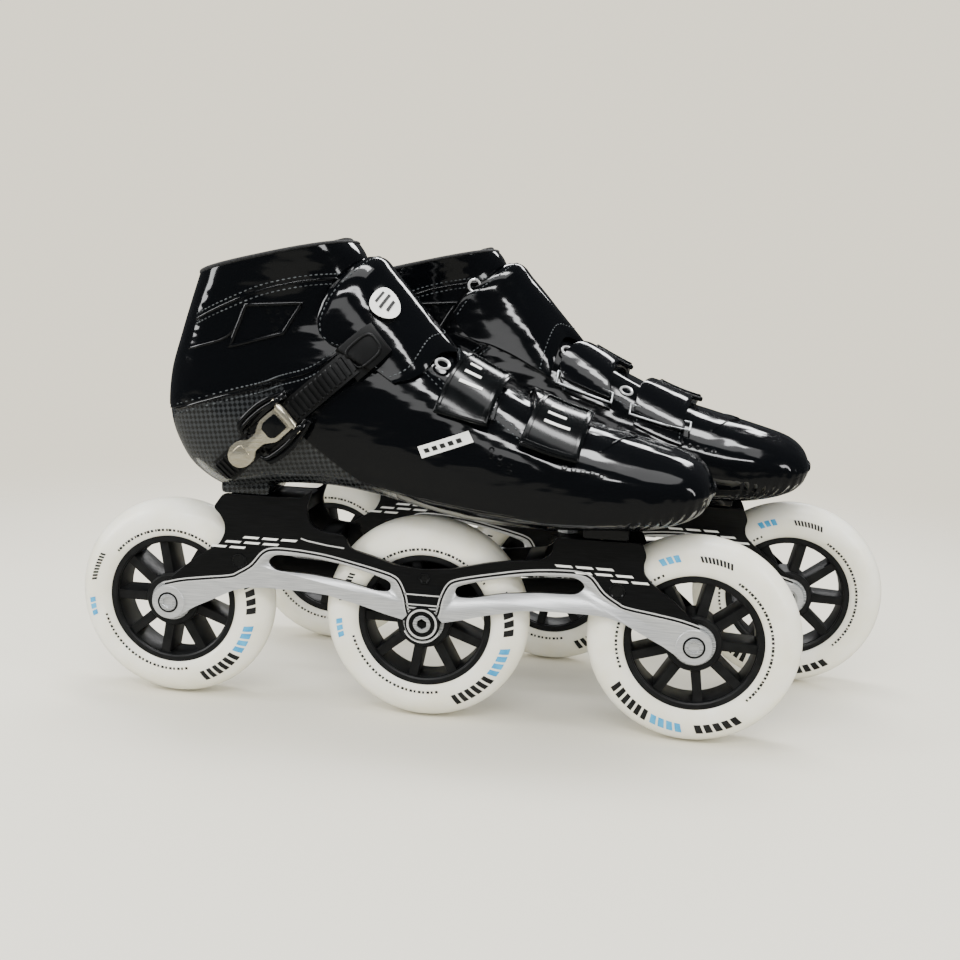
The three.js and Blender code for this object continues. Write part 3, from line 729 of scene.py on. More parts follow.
def boss(x, side):
    profile = [(4.3, 12.0), (5.6, 12.0), (5.6, 12.7), (9.3, 12.7), (9.3, 15.2), (8.9, 15.8), (5.6, 15.8),
               (5.2, 15.4), (5.2, 14.2), (4.3, 14.2)]
    made = turned([(r, side * y) for r, y in profile], 64)
    made.data.transform(Matrix.Translation((x * MM, 0, R * MM)))
    return made


blocks = [plate(rounded(outline, 1.5), -PLATE_IN - 0.4, PLATE_IN + 0.4, 0.4) for outline in (
    [(-106, T - 0.7), (-106, T + 7.2), (-64, T + 7.2), (-64, T - 0.7)], [(-58, T - 20), (-58, T - 10.4),
     (-48, T - 11), (-48, T - 20)], [(52, T - 25), (52, T - 17), (62, T - 15), (62, T - 25)],
    [(68, T - 9.5), (68, T - 3.6), (104, T - 3.6), (104, T - 9.5)])]
bosses = [boss(x, side) for x in AXLES.values() for side in (-1, 1)]
put(join([side_plate(-1), side_plate(1)] + blocks), "frame_channel", BLACK_ANODISED,
    "skate", ["frame"])
put(join([b for i, b in enumerate(bosses) if i // 2 != 1]), "end_bosses", BARE_ALLOY)
put(join(bosses[2:4]), "middle_bosses", BLACK_ANODISED)


# %% Bare arms and bright lines
# The machined faces are thin leaves on the side plates, 0.15 mm proud, so their edge catches the light.
def line(path, width, side, stand=0.22):
    """A flat bright line along a path in X and Z, on the outside of a side plate."""
    points = [Vector(p) for p in path]
    count = len(points) - 1

    def rule(a, b):
        i = round(b * count)
        ahead = (points[min(i + 1, count)] - points[max(i - 1, 0)]).normalized()
        spot = points[i] + Vector((-ahead.y, ahead.x)) * (a - 0.5) * width
        return (spot.x, side * (PLATE_OUT + stand), spot.y)
    return bent_grid(rule, 2, count, wall=0.25)


def moved(path, rise):
    """The path moved to its left by rise."""
    made = []
    for i, here in enumerate(path):
        ahead = (Vector(path[min(i + 1, len(path) - 1)]) - Vector(path[max(i - 1, 0)])).normalized()
        made.append((here[0] - ahead.y * rise, here[1] + ahead.x * rise))
    return made


SMOOTH_BORDER = smooth_path(BORDER, 90)
arms, lines = [], []
for mirror in (False, True):
    for side in (-1, 1):
        region = SMOOTH_BORDER + [(10.6, R + 1.4)] + LOWER[1:] + [(143, R - 2)]
        shape = flipped(region) if mirror else region
        low, high = sorted((side * (PLATE_OUT - 0.2), side * (PLATE_OUT + 0.15)))
        arm = plate(shape, low, high, 0)
        cut(arm, window_cutters(low - 5, high + 5))
        arms.append(arm)
        for rise in (0.2, -1.7):
            path = moved(SMOOTH_BORDER, rise)
            lines.append(line(flipped(path) if mirror else path, 0.75, side))
for side in (-1, 1):
    for height, reach in ((70.6, 10), (65.2, 8.8), (63.4, 8.3), (61.6, 7.8)):
        lines.append(line([(-reach, height), (0, height), (reach, height)], 0.7, side))
    ring = [(9.9 * math.cos(t), R + 9.9 * math.sin(t)) for t in np.linspace(math.radians(205),
                                                                            math.radians(335), 24)]
    lines.append(line(ring, 0.8, side, 0.9))
    lines.append(line([(-66, 96), (-62.5, 95), (-52, 93.4), (-42.5, 92.5)], 0.7, side))
dents, painted_shade_pieces = [], []
for side in (-1, 1):
    for x, z, radius in ((-100, 81, 4.4), (100, 81, 4.4), (0.6, R + 24.5, 3.4)):
        profile = [(0.2, 0.1), (radius - 1.3, 0.1), (radius - 0.9, 0.5), (radius - 0.3, 0.5), (radius, 0.1),
                   (radius, -0.3), (0.2, -0.3)]
        dent = turned([(r, side * (PLATE_OUT + y)) for r, y in profile], 6 if x == 0.6 else 40)
        dent.data.transform(Matrix.Translation((x * MM, 0, z * MM)))
        dents.append(dent)
# Painted shade: dark hex discs at the bottoms of the bolt sockets, and dark rings in the gaps between the
# bosses and the bolt heads. They are black pieces put where these hollows fall into shadow.
for x in AXLES.values():
    socket_painted_shade = round_bar(2.75, 0.4, 6, (x, -14.8, R))
    gap_painted_shade_ring = turned([(4.8, -15.3), (5.7, -15.3), (5.7, -15.95), (4.8, -15.95)], 48)
    gap_painted_shade_ring.data.transform(Matrix.Translation((x * MM, 0, R * MM)))
    painted_shade_pieces += [socket_painted_shade, gap_painted_shade_ring]
circle = [(7.6 * math.cos(t), R + 7.6 * math.sin(t)) for t in np.linspace(0, 2 * math.pi, 41)]
lines += [line(circle, 1.1, side, 0.95) for side in (-1, 1)]
put(join(dents), "round_dents", BUCKLE_PLASTIC)
put(join(painted_shade_pieces), "bolt_painted_shade", BLACK_ANODISED)
put(join(arms), "bare_arms", BARE_ALLOY)
put(join(lines), "bright_lines", BRIGHT_LINE)

# %% Frame stripes
STRIPE_PITCH, STRIPE_LONG, STRIPE_HIGH, STRIPE_LEAN = 10.4, 8.2, 1.15, 1.2
stripes = []
for side in (-1, 1):
    for row, (start, end) in enumerate(((-116, -96), (-108, -84), (-98, -75))):
        for x in np.arange(start, end, STRIPE_PITCH):
            z = 88 + 2.9 * row
            for mirror, base in ((1, z), (-1, z - 2.4)):
                lean = [(mirror * x, base), (mirror * (x + STRIPE_LONG), base),
                        (mirror * (x + STRIPE_LONG + STRIPE_LEAN), base + STRIPE_HIGH),
                        (mirror * (x + STRIPE_LEAN), base + STRIPE_HIGH)]
                low, high = sorted((side * (PLATE_OUT - 0.1), side * (PLATE_OUT + 0.12)))
                stripes.append(plate(lean, low, high, 0))
put(join(stripes), "frame_stripes", PRINT_WHITE)
for node in ("heel_mount_bolt", "toe_mount_bolt"):
    for side in SIDES:
        cad = frame["nodes"][f"{side}_{node}"]
        cad.data.materials.clear()
        cad.data.materials.append(STEEL)

# %% [markdown]
# ## The boot
# The shell and the upper are two skins over the same foot, parted along the seam. The upper stands 0.7 mm
# prouder, as a layer that is glued over the shell.

# %% Seam
# The seam is a line on the side view. On each section it falls at one angle, the same on both sides of the
# boot.
SEAM = [(-170, T + 46), (-126, T + 53.5), (-100, T + 62), (-71, T + 71.5), (-58, T + 42), (-30, T + 20.5),
        (0, T + 15.5), (50, T + 12), (100, T + 13), (126, T + 18), (170, T + 34)]


def seam_angles():
    found = []
    seam_x, seam_z = zip(*SEAM)
    for row in TABLE:
        above = row[:, 2] - np.interp(row[:, 0], seam_x, seam_z)
        below = np.nonzero(above < 0)[0]
        if len(below) == 0:
            found.append(TABLE_ANGLE[0])
        elif below[-1] == len(above) - 1:
            found.append(TABLE_ANGLE[-1])
        else:
            k = below[-1]
            share = -above[k] / (above[k + 1] - above[k])
            found.append(TABLE_ANGLE[k] + share * (TABLE_ANGLE[k + 1] - TABLE_ANGLE[k]))
    return np.array(found)


SEAM_ANGLE = seam_angles()
SEAM_END = float(TABLE_U[np.argmax(SEAM_ANGLE <= TABLE_ANGLE[0] + 1e-6)])
CARBON_START = 0.44
TOE_NOSE = 1.6
TOE_MIDDLE = (boot(0, 0)[1] + boot(0, math.pi)[1]) / 2
print("the seam leaves the sole line at u", round(SEAM_END, 3))


# %% Skins on either side of the seam
def pleat(x, y, z):
    """The crimped folds of the lasted edge under the toe, in mm."""
    if x < 92 or z > T + 30:
        return 0
    turn = math.atan2(y - TOE_MIDDLE, x - 88)
    fade = min(max((T + 29 - z) / 12, 0), 1) * min(max((x - 92) / 14, 0), 1)
    return 0.42 * fade * math.sin(turn * 40 / 0.62)


def skin(part, rise, wall, first=0.0, last=1.0, around=96, along=200):
    """A sheet of the boot from section u = first to last: part is 'all', 'upper' or 'shell'."""
    cap = 0.03 if first == 0 else 0

    def angle_at(u, a):
        if part == "all":
            return 2 * math.pi * a
        seam = float(np.interp(u, TABLE_U, SEAM_ANGLE))
        if part == "upper":
            return seam + (math.pi - 2 * seam) * a
        return math.pi - seam + (math.pi + 2 * seam) * a

    def rule(a, b):
        if b >= cap:
            u = first + (last - first) * ((b - cap) / (1 - cap)) ** (1.4 if cap else 1)
            angle = angle_at(u, a)
            return boot(u, angle, rise + pleat(*boot(u, angle)))
        edge = Vector(boot(0, angle_at(0, a), rise))
        centre = (Vector(boot(0, SEAM_ANGLE[0])) + Vector(boot(0, math.pi - SEAM_ANGLE[0]))) / 2
        grow = b / cap * math.pi / 2
        return centre + (edge - centre) * math.sin(grow) + Vector((TOE_NOSE * math.cos(grow), 0, 0))

    piece = bent_grid(rule, around, along)
    middle_spot = sum((f.center for f in piece.data.polygons), Vector()) / len(piece.data.polygons)
    if sum(f.normal.dot(f.center - middle_spot) * f.area for f in piece.data.polygons) < 0:
        piece.data.flip_normals()
    if wall:
        modifier(piece, "SOLIDIFY", thickness=wall * MM, offset=-1)
        bevel(piece, 0.5, 70)
    smooth(piece, 45)
    return piece


bare_skin = skin("all", 0.6, 0, 0, 1, 80, 130)
BED = BVHTree.FromObject(bare_skin, bpy.context.evaluated_depsgraph_get())
bpy.data.objects.remove(bare_skin)

# %% Shell and upper
put(skin("upper", 0.7, 2.4), "glossy_upper", PATENT, "skate", ["upper"])
heel_pad = plate(rounded([(-110, T + 7.6), (-110, T + 14), (-84, T + 14), (-84, T + 7.6)], 2), -14, 14, 0.5)
toe_pad = plate(rounded([(81, T - 3.2), (81, T + 5), (104, T + 5), (104, T - 3.2)], 2), -14, 14, 0.5)
shell = skin("shell", 0, 2.2, CARBON_START, SEAM_END, 72, 90)
welt = skin("shell", 0, 2.2, 0, CARBON_START, 84, 150)
put(join([shell, heel_pad]), "carbon_bucket", CARBON, "skate", ["carbon_shell"])
put(join([welt, toe_pad]), "lasted_edge", PATENT)


# %% Places on the boot's skin
def skin_at(x, z, rise=0.0, inner=False):
    """A place on the boot's side as the side view shows it at x, z, in mm, and rise off the skin."""
    side = 1 if inner else -1
    place, normal, _, _ = BED.ray_cast(Vector((x, side * 120, z)) * MM, Vector((0, -side, 0)))
    if place is None:
        return Vector(on_side(x, z, rise + 0.6, inner))
    return place / MM + normal * (1 if normal.y * side > 0 else -1) * rise


def stand_on_skin(piece, x, z, rise=0.0, inner=False):
    """Turns a piece made round Y so that it stands square to the skin at a place."""
    out_way = (skin_at(x, z, 5, inner) - skin_at(x, z, 0, inner)).normalized()
    turn = Vector((0, 1, 0)).rotation_difference(out_way).to_matrix().to_4x4()
    piece.data.transform(Matrix.Translation(skin_at(x, z, rise, inner) * MM) @ turn)
    return piece


def along_skin(pairs, count, rise, inner=False):
    return [skin_at(x, z, rise, inner) for x, z in smooth_path(pairs, count)]


def scatter(prototype, places):
    """Copies one small mesh to many places, as one piece. A place is a matrix in metres."""
    points = np.array([v.co for v in prototype.data.vertices])
    faces = [list(f.vertices) for f in prototype.data.polygons]
    all_points, all_faces = [], []
    for k, matrix in enumerate(places):
        turned_points = points @ np.array(matrix.to_3x3()).T + np.array(matrix.translation)
        all_points.extend(turned_points.tolist())
        all_faces.extend([[i + k * len(points) for i in face] for face in faces])
    mesh = bpy.data.meshes.new("scattered")
    mesh.from_pydata(all_points, [], all_faces)
    piece = bpy.data.objects.new("scattered", mesh)
    bpy.context.collection.objects.link(piece)
    bpy.data.objects.remove(prototype)
    smooth(piece, 60)
    return piece


def stitch_prototype():
    deselect()
    bpy.ops.mesh.primitive_uv_sphere_add(segments=6, ring_count=4, radius=1)
    made = bpy.context.object
    made.data.transform(Matrix.Diagonal((0.9 * MM, 0.4 * MM, 0.4 * MM, 1)))
    return made


def stitch_matrix(before, after, place):
    """A stitch's own axes, with X from one point to the next, standing at a place in mm."""
    ahead = (after - before).normalized()
    up = Vector((0, 1, 0)).cross(ahead).normalized()
    axes = Matrix((ahead, up, ahead.cross(up))).transposed().to_4x4()
    axes.translation = place * MM
    return axes


def stitch_places(pairs, inner=False, step=2.3, rise=0.1):
    length = sum(math.dist(pairs[i], pairs[i + 1]) for i in range(len(pairs) - 1))
    points = along_skin(pairs, max(int(length / step), 3), rise, inner)
    return [stitch_matrix(before, after, (before + after) / 2) for before, after in zip(points, points[1:])]


# %% Seams and stitching
SEAM_TOP = [(-115.6, 208.8), (-100, 216), (-80, 224.4), (-60, 229.4), (-45, 231)]
SEAM_SHELL = [(-130, 162), (-100, 171.3), (-80, 177), (-71, 180.6), (-55, 186), (-40, 197)]
SEAM_FORE = [(0, 188), (12.5, 178), (24, 171), (37.5, 167), (51, 158)]
SEAM_TOE = [(87.5, 154), (97, 158.2), (106, 157.6)]
PANEL = [(-88, 217), (-61, 218.8), (-70, 203.8), (-97, 196.3), (-88, 217)]
piping, places = [], []
for inner in (False, True):
    for path in (SEAM_TOP, SEAM_SHELL):
        piping.append(tube(along_skin(path, 40, 0.1, inner), 0.7, 6))
        for offset in (-2.4, 2.4):
            places += stitch_places([(x, z + offset) for x, z in path], inner)
    places += stitch_places(SEAM_FORE, inner) + stitch_places([(x + 1, z + 2.2) for x, z in SEAM_FORE],
                                                              inner)
    piping.append(tube(along_skin(SEAM_TOE, 16, 0.1, inner), 0.6, 6))
    corners = [p for i in range(4) for p in smooth_path([PANEL[i], PANEL[i + 1]], 8)[:-1]]
    piping.append(tube([skin_at(x, z, 0.25, inner) for x, z in corners], 1.1, 8, closed=True))
    piping.append(tube(along_skin([(-120, 194), (-110, 196.5), (-100, 200), (-92, 206)], 16, 0.1, inner),
                       0.8, 6))
put(join(piping), "raised_seams", PATENT)
put(scatter(stitch_prototype(), places), "stitches", THREAD)

# %% [markdown]
# ## Collar, lining and tongue
# The collar is a foam roll under knitted mesh. It follows the top edge of the boot and turns over it, so one
# closed profile is swept round the edge. The lining carries on down inside.


# %% Collar and lining
def swept_round(profile, around=96):
    """A closed profile of (u, rise, lift) swept round the boot."""
    ring = profile + [profile[0]]

    def rule(a, b):
        u, rise, lift = ring[round(b * (len(ring) - 1))]
        return boot(u, 2 * math.pi * a, rise, lift)
    return bent_grid(rule, around, len(ring) - 1, angle=60)


collar = swept_round([(0.993, 0.2, 0), (0.996, 0.8, 0), (0.998, 1.1, 0), (1, 1.2, 0.3), (1, 0.9, 1.0),
                      (1, -0.6, 1.6), (1, -2.6, 1.8), (1, -5, 1.4), (1, -6.6, 0.6), (0.985, -7.2, 0),
                      (0.94, -7.0, 0), (0.9, -5.5, 0), (0.93, -3, 0)])
modifier(collar, "SUBSURF", levels=1, render_levels=1)
smooth(collar, 60)
put(collar, "padded_collar", LINING, "skate", ["liner"])


def lining_rule(a, b):
    return boot(0.08 + 0.89 * b, 2 * math.pi * a, -3.0)


put(bent_grid(lining_rule, 72, 60, wall=2.2, angle=60), "inner_lining", LINING)


def tongue_rule(a, b):
    width = 0.42 + 0.2 * math.sin(math.pi * min(b * 1.05, 1))
    top = 3.0 * math.sqrt(max(1 - (2 * a - 1) ** 2, 0)) * max(b - 0.9, 0) * 10
    return boot(min(0.5 + 0.52 * b, 1), math.pi / 2 + (a - 0.5) * 2 * width, -1.9, top)


tongue = bent_grid(tongue_rule, 24, 48, wall=4.0, round_edge=1.2, angle=60)
put(tongue, "padded_tongue", LINING, "skate", ["tongue"])


FOOTBED_TOE, FOOTBED_LENGTH, FOOTBED_SPREAD, FOOTBED_DEPTH = 0.06, 0.6, 1.7, 6.2


def footbed_rule(a, b):
    angle = -math.pi / 2 + (a - 0.5) * FOOTBED_SPREAD
    return boot(FOOTBED_TOE + FOOTBED_LENGTH * b, angle, -FOOTBED_DEPTH)


put(bent_grid(footbed_rule, 24, 60, wall=2.5, round_edge=0.8), "moulded_footbed", LINING, "skate",
    ["footbed"])

# %% [markdown]
# ## Straps
# Three straps cross the foot. Each lies between two edges that are drawn on the side view and looked up on
# the skin, so a strap bends over the ridge exactly as the boot does.


# %% Strap shapes
def ridge_u(x):
    return TABLE_U[int(np.argmin(abs(TABLE[:, -1, 0] - x)))]


def edge_of(pairs):
    """A strap's edge as (u, angle) pairs. A pair is (x, z), (x, z, 'inner') or (x,) for the ridge."""
    made = []
    for pair in pairs:
        if len(pair) == 1:
            made.append((ridge_u(pair[0]), math.pi / 2))
        else:
            u, angle = locate(pair[0], pair[1])
            made.append((u, math.pi - angle if len(pair) == 3 else angle))
    return made


def band_spot(rear, front, share, along, rise, bulge):
    """A place on a strap: share across it from rear to front, along it from end to end, crowned by bulge."""
    (u0, angle0), (u1, angle1) = spline(rear, along), spline(front, along)
    crown = bulge * (1 - (2 * share - 1) ** 4) * math.sin(math.pi * along) ** 2
    return Vector(boot(u0 + (u1 - u0) * share, angle0 + (angle1 - angle0) * share, rise + crown))


def strap(rear, front, rise, wall, across=14, along=90, bulge=0.0, soft=0.6):
    rear, front = edge_of(rear), edge_of(front)

    def rule(a, b):
        return band_spot(rear, front, a, b, rise, bulge)
    return bent_grid(rule, across, along, wall=wall, round_edge=soft, angle=50)


ANKLE = ([(-52, 203), (-54, 214), (-48, 228), (-38,), (-44, 234, 1), (-56, 224, 1), (-64, 212, 1)],
         [(-14, 181), (-2, 185), (6, 194), (13,), (2, 198, 1), (-2, 188, 1), (-5, 178, 1)])
INSTEP = ([(13, 173), (15, 185), (11,), (1, 186, 1), (2, 172, 1)],
          [(38, 166), (38, 177), (34,), (29, 177, 1), (31, 162, 1)])
TOE = ([(53, 158), (54, 169), (51,), (46, 169, 1), (45, 155, 1)],
       [(78, 151), (79, 161), (78,), (74, 160, 1), (73, 146, 1)])
ankle = strap(*ANKLE, 3.4, 2.8, 22, 110, 8.5)
BAND = BVHTree.FromObject(ankle, bpy.context.evaluated_depsgraph_get())
put(ankle, "ankle_band", PATENT_STRAP, "skate", ["ankle_strap"])
put(strap(*INSTEP, 3.2, 2.6, bulge=0.6), "instep_band", PATENT_STRAP, "skate",
    ["instep_strap"])
put(strap(*TOE, 3.2, 2.6, bulge=0.6), "toe_band", PATENT_STRAP, "skate", ["toe_strap"])

# %% Edge stitching on the straps
def band_stitches(rear, front, rise, bulge=0.0, inset=0.07, step=2.4):
    """Dashes round a strap, a little way in from its two long edges and across one of its ends."""
    rear, front = edge_of(rear), edge_of(front)
    loop = [(inset, k / 200) for k in range(6, 195)] + [(1 - inset, k / 200) for k in range(194, 5, -1)]
    loop += [(1 - inset - (1 - 2 * inset) * k / 12, 0.03) for k in range(13)]
    points = [band_spot(rear, front, share, along, rise, bulge) for share, along in loop]
    places, walked = [], 0.0
    for before, after in zip(points, points[1:]):
        walked += (after - before).length
        if walked < step or (after - before).length < 1e-6:
            continue
        walked = 0.0
        places.append(stitch_matrix(before, after, after))
    return places


band_places = band_stitches(*ANKLE, 3.5, 8.5) + band_stitches(*INSTEP, 3.3, 0.6) + band_stitches(*TOE, 3.3,
                                                                                                 0.6)
put(scatter(stitch_prototype(), band_places), "band_stitches", THREAD)

# %% Second layers and moulded strap ends
# A strap folds back on itself at its loop, so over the foot it lies in two layers.
def between(rear, front, spans, rise, wall, soft=0.3):
    """Bars on a strap, each between two shares of its width and two of its length."""
    u0, u1 = edge_of(rear), edge_of(front)
    made = []
    for low, high, start, end in spans:
        def bar(a, b, low=low, high=high, start=start, end=end):
            near, far = (spline(edge, start + (end - start) * b) for edge in (u0, u1))
            spot = near + (far - near) * (low + (high - low) * a)
            return boot(spot[0], spot[1], rise)
        made.append(bent_grid(bar, 6, 12, wall=wall, round_edge=soft))
    return made


tops = [strap([(14, 180), (15, 187), (12,), (2, 188, 1), (2, 178, 1)],
              [(37, 174), (38, 179), (33,), (30, 179, 1), (31, 167, 1)], 5.4, 2.2, bulge=0.8),
        strap([(54, 166), (55, 171), (52,), (46, 171, 1), (44, 161, 1)],
              [(77, 159), (78, 162), (77,), (74, 162, 1), (74, 152, 1)], 5.4, 2.2, bulge=0.8)]
put(join(tops), "folded_strap_tops", PATENT_STRAP)
ENDS = (([(7, 169), (18, 191)], [(35, 163), (43, 185)]), ([(50, 156), (60, 177)], [(77, 149), (85, 169)]))
patches, bars = [], []
for rear, front in ENDS:
    patches.append(strap(rear, front, 6.4, 2.8, 12, 14, 0.5, 0.9))
    patches += between(rear, front, [(0.05, 0.11, 0.06, 0.94), (0.89, 0.95, 0.06, 0.94),
                                     (0.05, 0.95, 0.05, 0.11), (0.05, 0.95, 0.89, 0.95)], 7.3, 0.9)
    bars += between(rear, front, [(0.26, 0.72, 0.4, 0.43), (0.26, 0.6, 0.52, 0.55),
                                  (0.26, 0.5, 0.64, 0.67)], 7.1, 0.4, 0)
put(join(patches), "strap_ends", STRAP_RUBBER)
put(join(bars), "strap_end_bars", PRINT_WHITE)


# %% Strap loops and eyelets
def loop_path(rear, front, angle_low, angle_high, rise):
    """A rectangular wire loop round a strap's inner end, as points on the boot."""
    (u0, a0), (u1, a1) = edge_of([rear])[0], edge_of([front])[0]
    spots = []
    for k in range(12):
        spots.append((u0 + (u1 - u0) * k / 11, a0 + (a1 - a0) * k / 11 - angle_high))
    for k in range(12):
        spots.append((u1 + (u0 - u1) * k / 11, a1 + (a0 - a1) * k / 11 + angle_low))
    return [Vector(boot(u, angle, rise)) for u, angle in spots]


loops = []
for rear, front in (((1, 180, 1), (32, 169, 1)), ((43, 164, 1), (76, 155, 1))):
    loops.append(tube(loop_path(rear, front, 0.13, 0.03, 4.8), 0.65, 8, closed=True))
put(join(loops), "strap_loops", STEEL)


EYELET = [(2.7, 0), (2.9, 0.7), (3.6, 0.9), (4.1, 0.4), (4.1, 0), (3.4, -0.6), (2.8, -0.6)]
EYELET_SPOTS = ((7.5, 190, 2.4, False), (-52.5, 229, 2.4, True), (3, 192, 2.4, True), (39, 173, 0.2, True))
rings = [stand_on_skin(turned(EYELET, 40), *spot) for spot in EYELET_SPOTS]
put(join(rings), "eyelets", BRIGHT_LINE)

# %% [markdown]
# ## Buckle
# A ratchet buckle pulls a ribbed ladder strap. Its lever turns on a pin, so the pin's place and direction
# come from the joint, and the strap's direction from the lever's own solid.

# %% Buckle axes
joint = next(j for j in frame["joints"] if j["name"] == "right_buckle_open")
to_local = SKATE["right"].inverted()
pin = to_local @ Vector(joint["pos_m"])
across = (to_local.to_3x3() @ Vector(joint["axis"])).normalized()
lever_points = [to_local @ v.co for v in frame["nodes"]["right_buckle_lever"].data.vertices]
centre = sum(lever_points, Vector()) / len(lever_points)
upwards = (pin - centre) - across * (pin - centre).dot(across)
upwards.normalize()
out = upwards.cross(across).normalized()
BUCKLE = Matrix((upwards, across, out)).transposed().to_4x4()
BUCKLE.translation = pin
print("pin", pin, "along", upwards, "out", out)


def on_strip(s, t, rise, over_band=False):
    """A place in the buckle's axes, dropped onto the boot, or onto the ankle band, and lifted by rise."""
    start = BUCKLE @ (Vector((s, t, 60)) * MM)
    hits = [tree.ray_cast(start, -out)[0] for tree in ((BED, BAND) if over_band else (BED,))]
    hits = [hit for hit in hits if hit is not None]
    if not hits:
        hits = [BUCKLE @ (Vector((s, t, -9)) * MM)]
    return max(hits, key=lambda hit: hit.dot(out)) / MM + out * rise


BAND_HEIGHT = (on_strip(44, 0, 0, True) - on_strip(44, 0, 0)).dot(out)
print("the band lies", round(BAND_HEIGHT, 2), "mm above the skin under the holder")


# %% Ladder strap and heel strap
def ribbed(start, end, half, low, top, pitch=3.1, climb=None):
    def rule(a, b):
        s = start + (end - start) * b
        t = (a - 0.5) * 2 * half
        lift = climb(s) if climb else 0
        tooth = 0.9 if (s / pitch) % 1 < 0.55 and abs(t) < half * 0.8 else 0
        return on_strip(s, t, top + tooth + lift)
    return bent_grid(rule, 20, int((end - start) / 0.35), wall=top - low, angle=25)


def over_flap(s):
    share = min(max((s - 10) / 22, 0), 1)
    return (BAND_HEIGHT - 1.6) * share * share * (3 - 2 * share)


ladder = ribbed(-20, 42, 6.4, 2.3, 4.4, climb=over_flap)


def held_spot(s, t, rise):
    """The holder is stiffer than the band, so it follows most of the band's curve and not all of it."""
    follow, start = 0.75, 44
    near = on_strip(start + (s - start) * follow, t * follow, rise, True)
    return near + BUCKLE.to_3x3() @ Vector(((s - start) * (1 - follow), t * (1 - follow), 0))


def holder_rule(a, b):
    s, t = 38 + 23 * b, (a - 0.5) * 18.4 * math.sqrt(1 - 0.7 * max(b - 0.6, 0) ** 1.5)
    return held_spot(s, t, 4.6 + 0.8 * (1 - (2 * a - 1) ** 2))


def holder_ring(k):
    t = 2 * math.pi * k / 40
    s, y = 50 + 8.2 * power(math.cos(t), 0.55), 5.8 * power(math.sin(t), 0.55)
    return held_spot(s, y, 5.3)


holder = bent_grid(holder_rule, 20, 24, wall=4.4, round_edge=1.4, angle=50)
ring = tube([holder_ring(k) for k in range(40)], 0.8, 8, closed=True)
put(join([ladder, holder, ring]), "ribbed_ladder", STRAP_PLASTIC, "skate",
    ["ladder_strap"])
heel = ribbed(-51, -24.5, 6.8, 0.5, 2.6)
put(heel, "ribbed_heel_strap", STRAP_PLASTIC, "skate", ["heel_strap"])


# %% Buckle body and lever
def in_buckle(piece):
    piece.data.transform(BUCKLE)
    return piece


def flat(outline, low, high, round_edge=0.5):
    """An outline in the buckle's X and Y, made solid between two heights."""
    made = plate(outline, low, high, round_edge)
    made.data.transform(Matrix.Rotation(math.pi / 2, 4, "X"))
    return made


wall_side = rounded([(-24, -7.9), (-24, -4.5), (-16, -2.5), (-6, 0.6), (-2.5, 2.4), (2.5, 2.4), (5, 0),
                     (7, -4), (7, -8.4)], 1.6)
parts = [plate(wall_side, 7.4, 9.9, 0.5), plate(wall_side, -9.9, -7.4, 0.5)]
floor = bent_grid(lambda a, b: on_strip(-24 + 31 * b, (a - 0.5) * 19.6, 1.9), 14, 20, wall=1.4,
                  round_edge=0.3)
ears = [flat(rounded([(-22, y * 9.4), (-21, y * 12.6), (-9, y * 13), (-3, y * 9.4)], 2), -7.6, -3.6, 0.8)
        for y in (1, -1)]
WING = [(-25, 8.6), (-23.5, 11.6), (-18, 13), (-9, 13.2), (-2, 12), (3, 10.4), (7, 9)]
wings = []
for y in (1, -1):
    for spread, low, rise, radius, sides in ((1, -3.4, 1.6, 1.5, 10), (0.8, -1.2, 1.2, 1.0, 8)):
        bow = [(s, y * t * spread, low + rise * math.sin(math.pi * k / 24))
               for k, (s, t) in enumerate(smooth_path(WING, 25))]
        wings.append(tube(bow, radius, sides))
body = join([in_buckle(p) for p in parts + ears + wings] + [floor])
put(body, "buckle_body", BUCKLE_PLASTIC, "skate", ["buckle_base"])

LEVER = [(0, -6.6), (0, 6.6), (-12, 6.8), (-15, 5.4), (-18.5, 3.3), (-24.5, 3.4), (-27, 5.6), (-30, 6.5),
         (-34, 6.4), (-37.6, 4.6), (-39.4, 1.6), (-39.4, -1.6), (-37.6, -4.6), (-34, -6.4), (-30, -6.5),
         (-27, -5.6), (-24.5, -3.4), (-18.5, -3.3), (-15, -5.4), (-12, -6.8)]
blade = flat(rounded(LEVER, 1.2), -1.0, 1.1, 0.6)
paddle = flat(rounded([(x * 0.82 - 5.8, y * 0.62) for x, y in LEVER if x < -25], 1.0), 0.9, 1.7, 0.5)
barrel, pin_rod = round_bar(2.1, 13.2, 32), round_bar(1.25, 20.6, 24)
for rod in (barrel, pin_rod):
    bevel(rod, 0.3)
lever = join([in_buckle(p) for p in (blade, paddle, barrel, pin_rod)])
smooth(lever, 40)
put(lever, "plated_lever", PLATED, "buckle_lever", ["buckle_lever"])
insert = in_buckle(flat(rounded([(-2.6, -4.6), (-2.6, 4.6), (-11, 4.8), (-13.6, 3), (-13.6, -3),
                                 (-11, -4.8)], 1), 0.9, 2.2, 0.5))
put(insert, "lever_insert", BUCKLE_PLASTIC, "buckle_lever")


# %% Labels
# A plain white label with five blocks, a white oval badge with three bars, and small dimples for air.
def label(corners, rise, across=10, along=24, inner=False):
    (ax, az), (bx, bz), (cx, cz), (dx, dz) = corners

    def rule(a, b):
        x = (ax + (bx - ax) * b) * (1 - a) + (dx + (cx - dx) * b) * a
        z = (az + (bz - az) * b) * (1 - a) + (dz + (cz - dz) * b) * a
        return skin_at(x, z, rise, inner)
    return bent_grid(rule, across, along, wall=0.3)


put(label([(0, 152.5), (25, 162), (28, 157), (2.5, 147)], 0.4), "side_label", PRINT_WHITE)


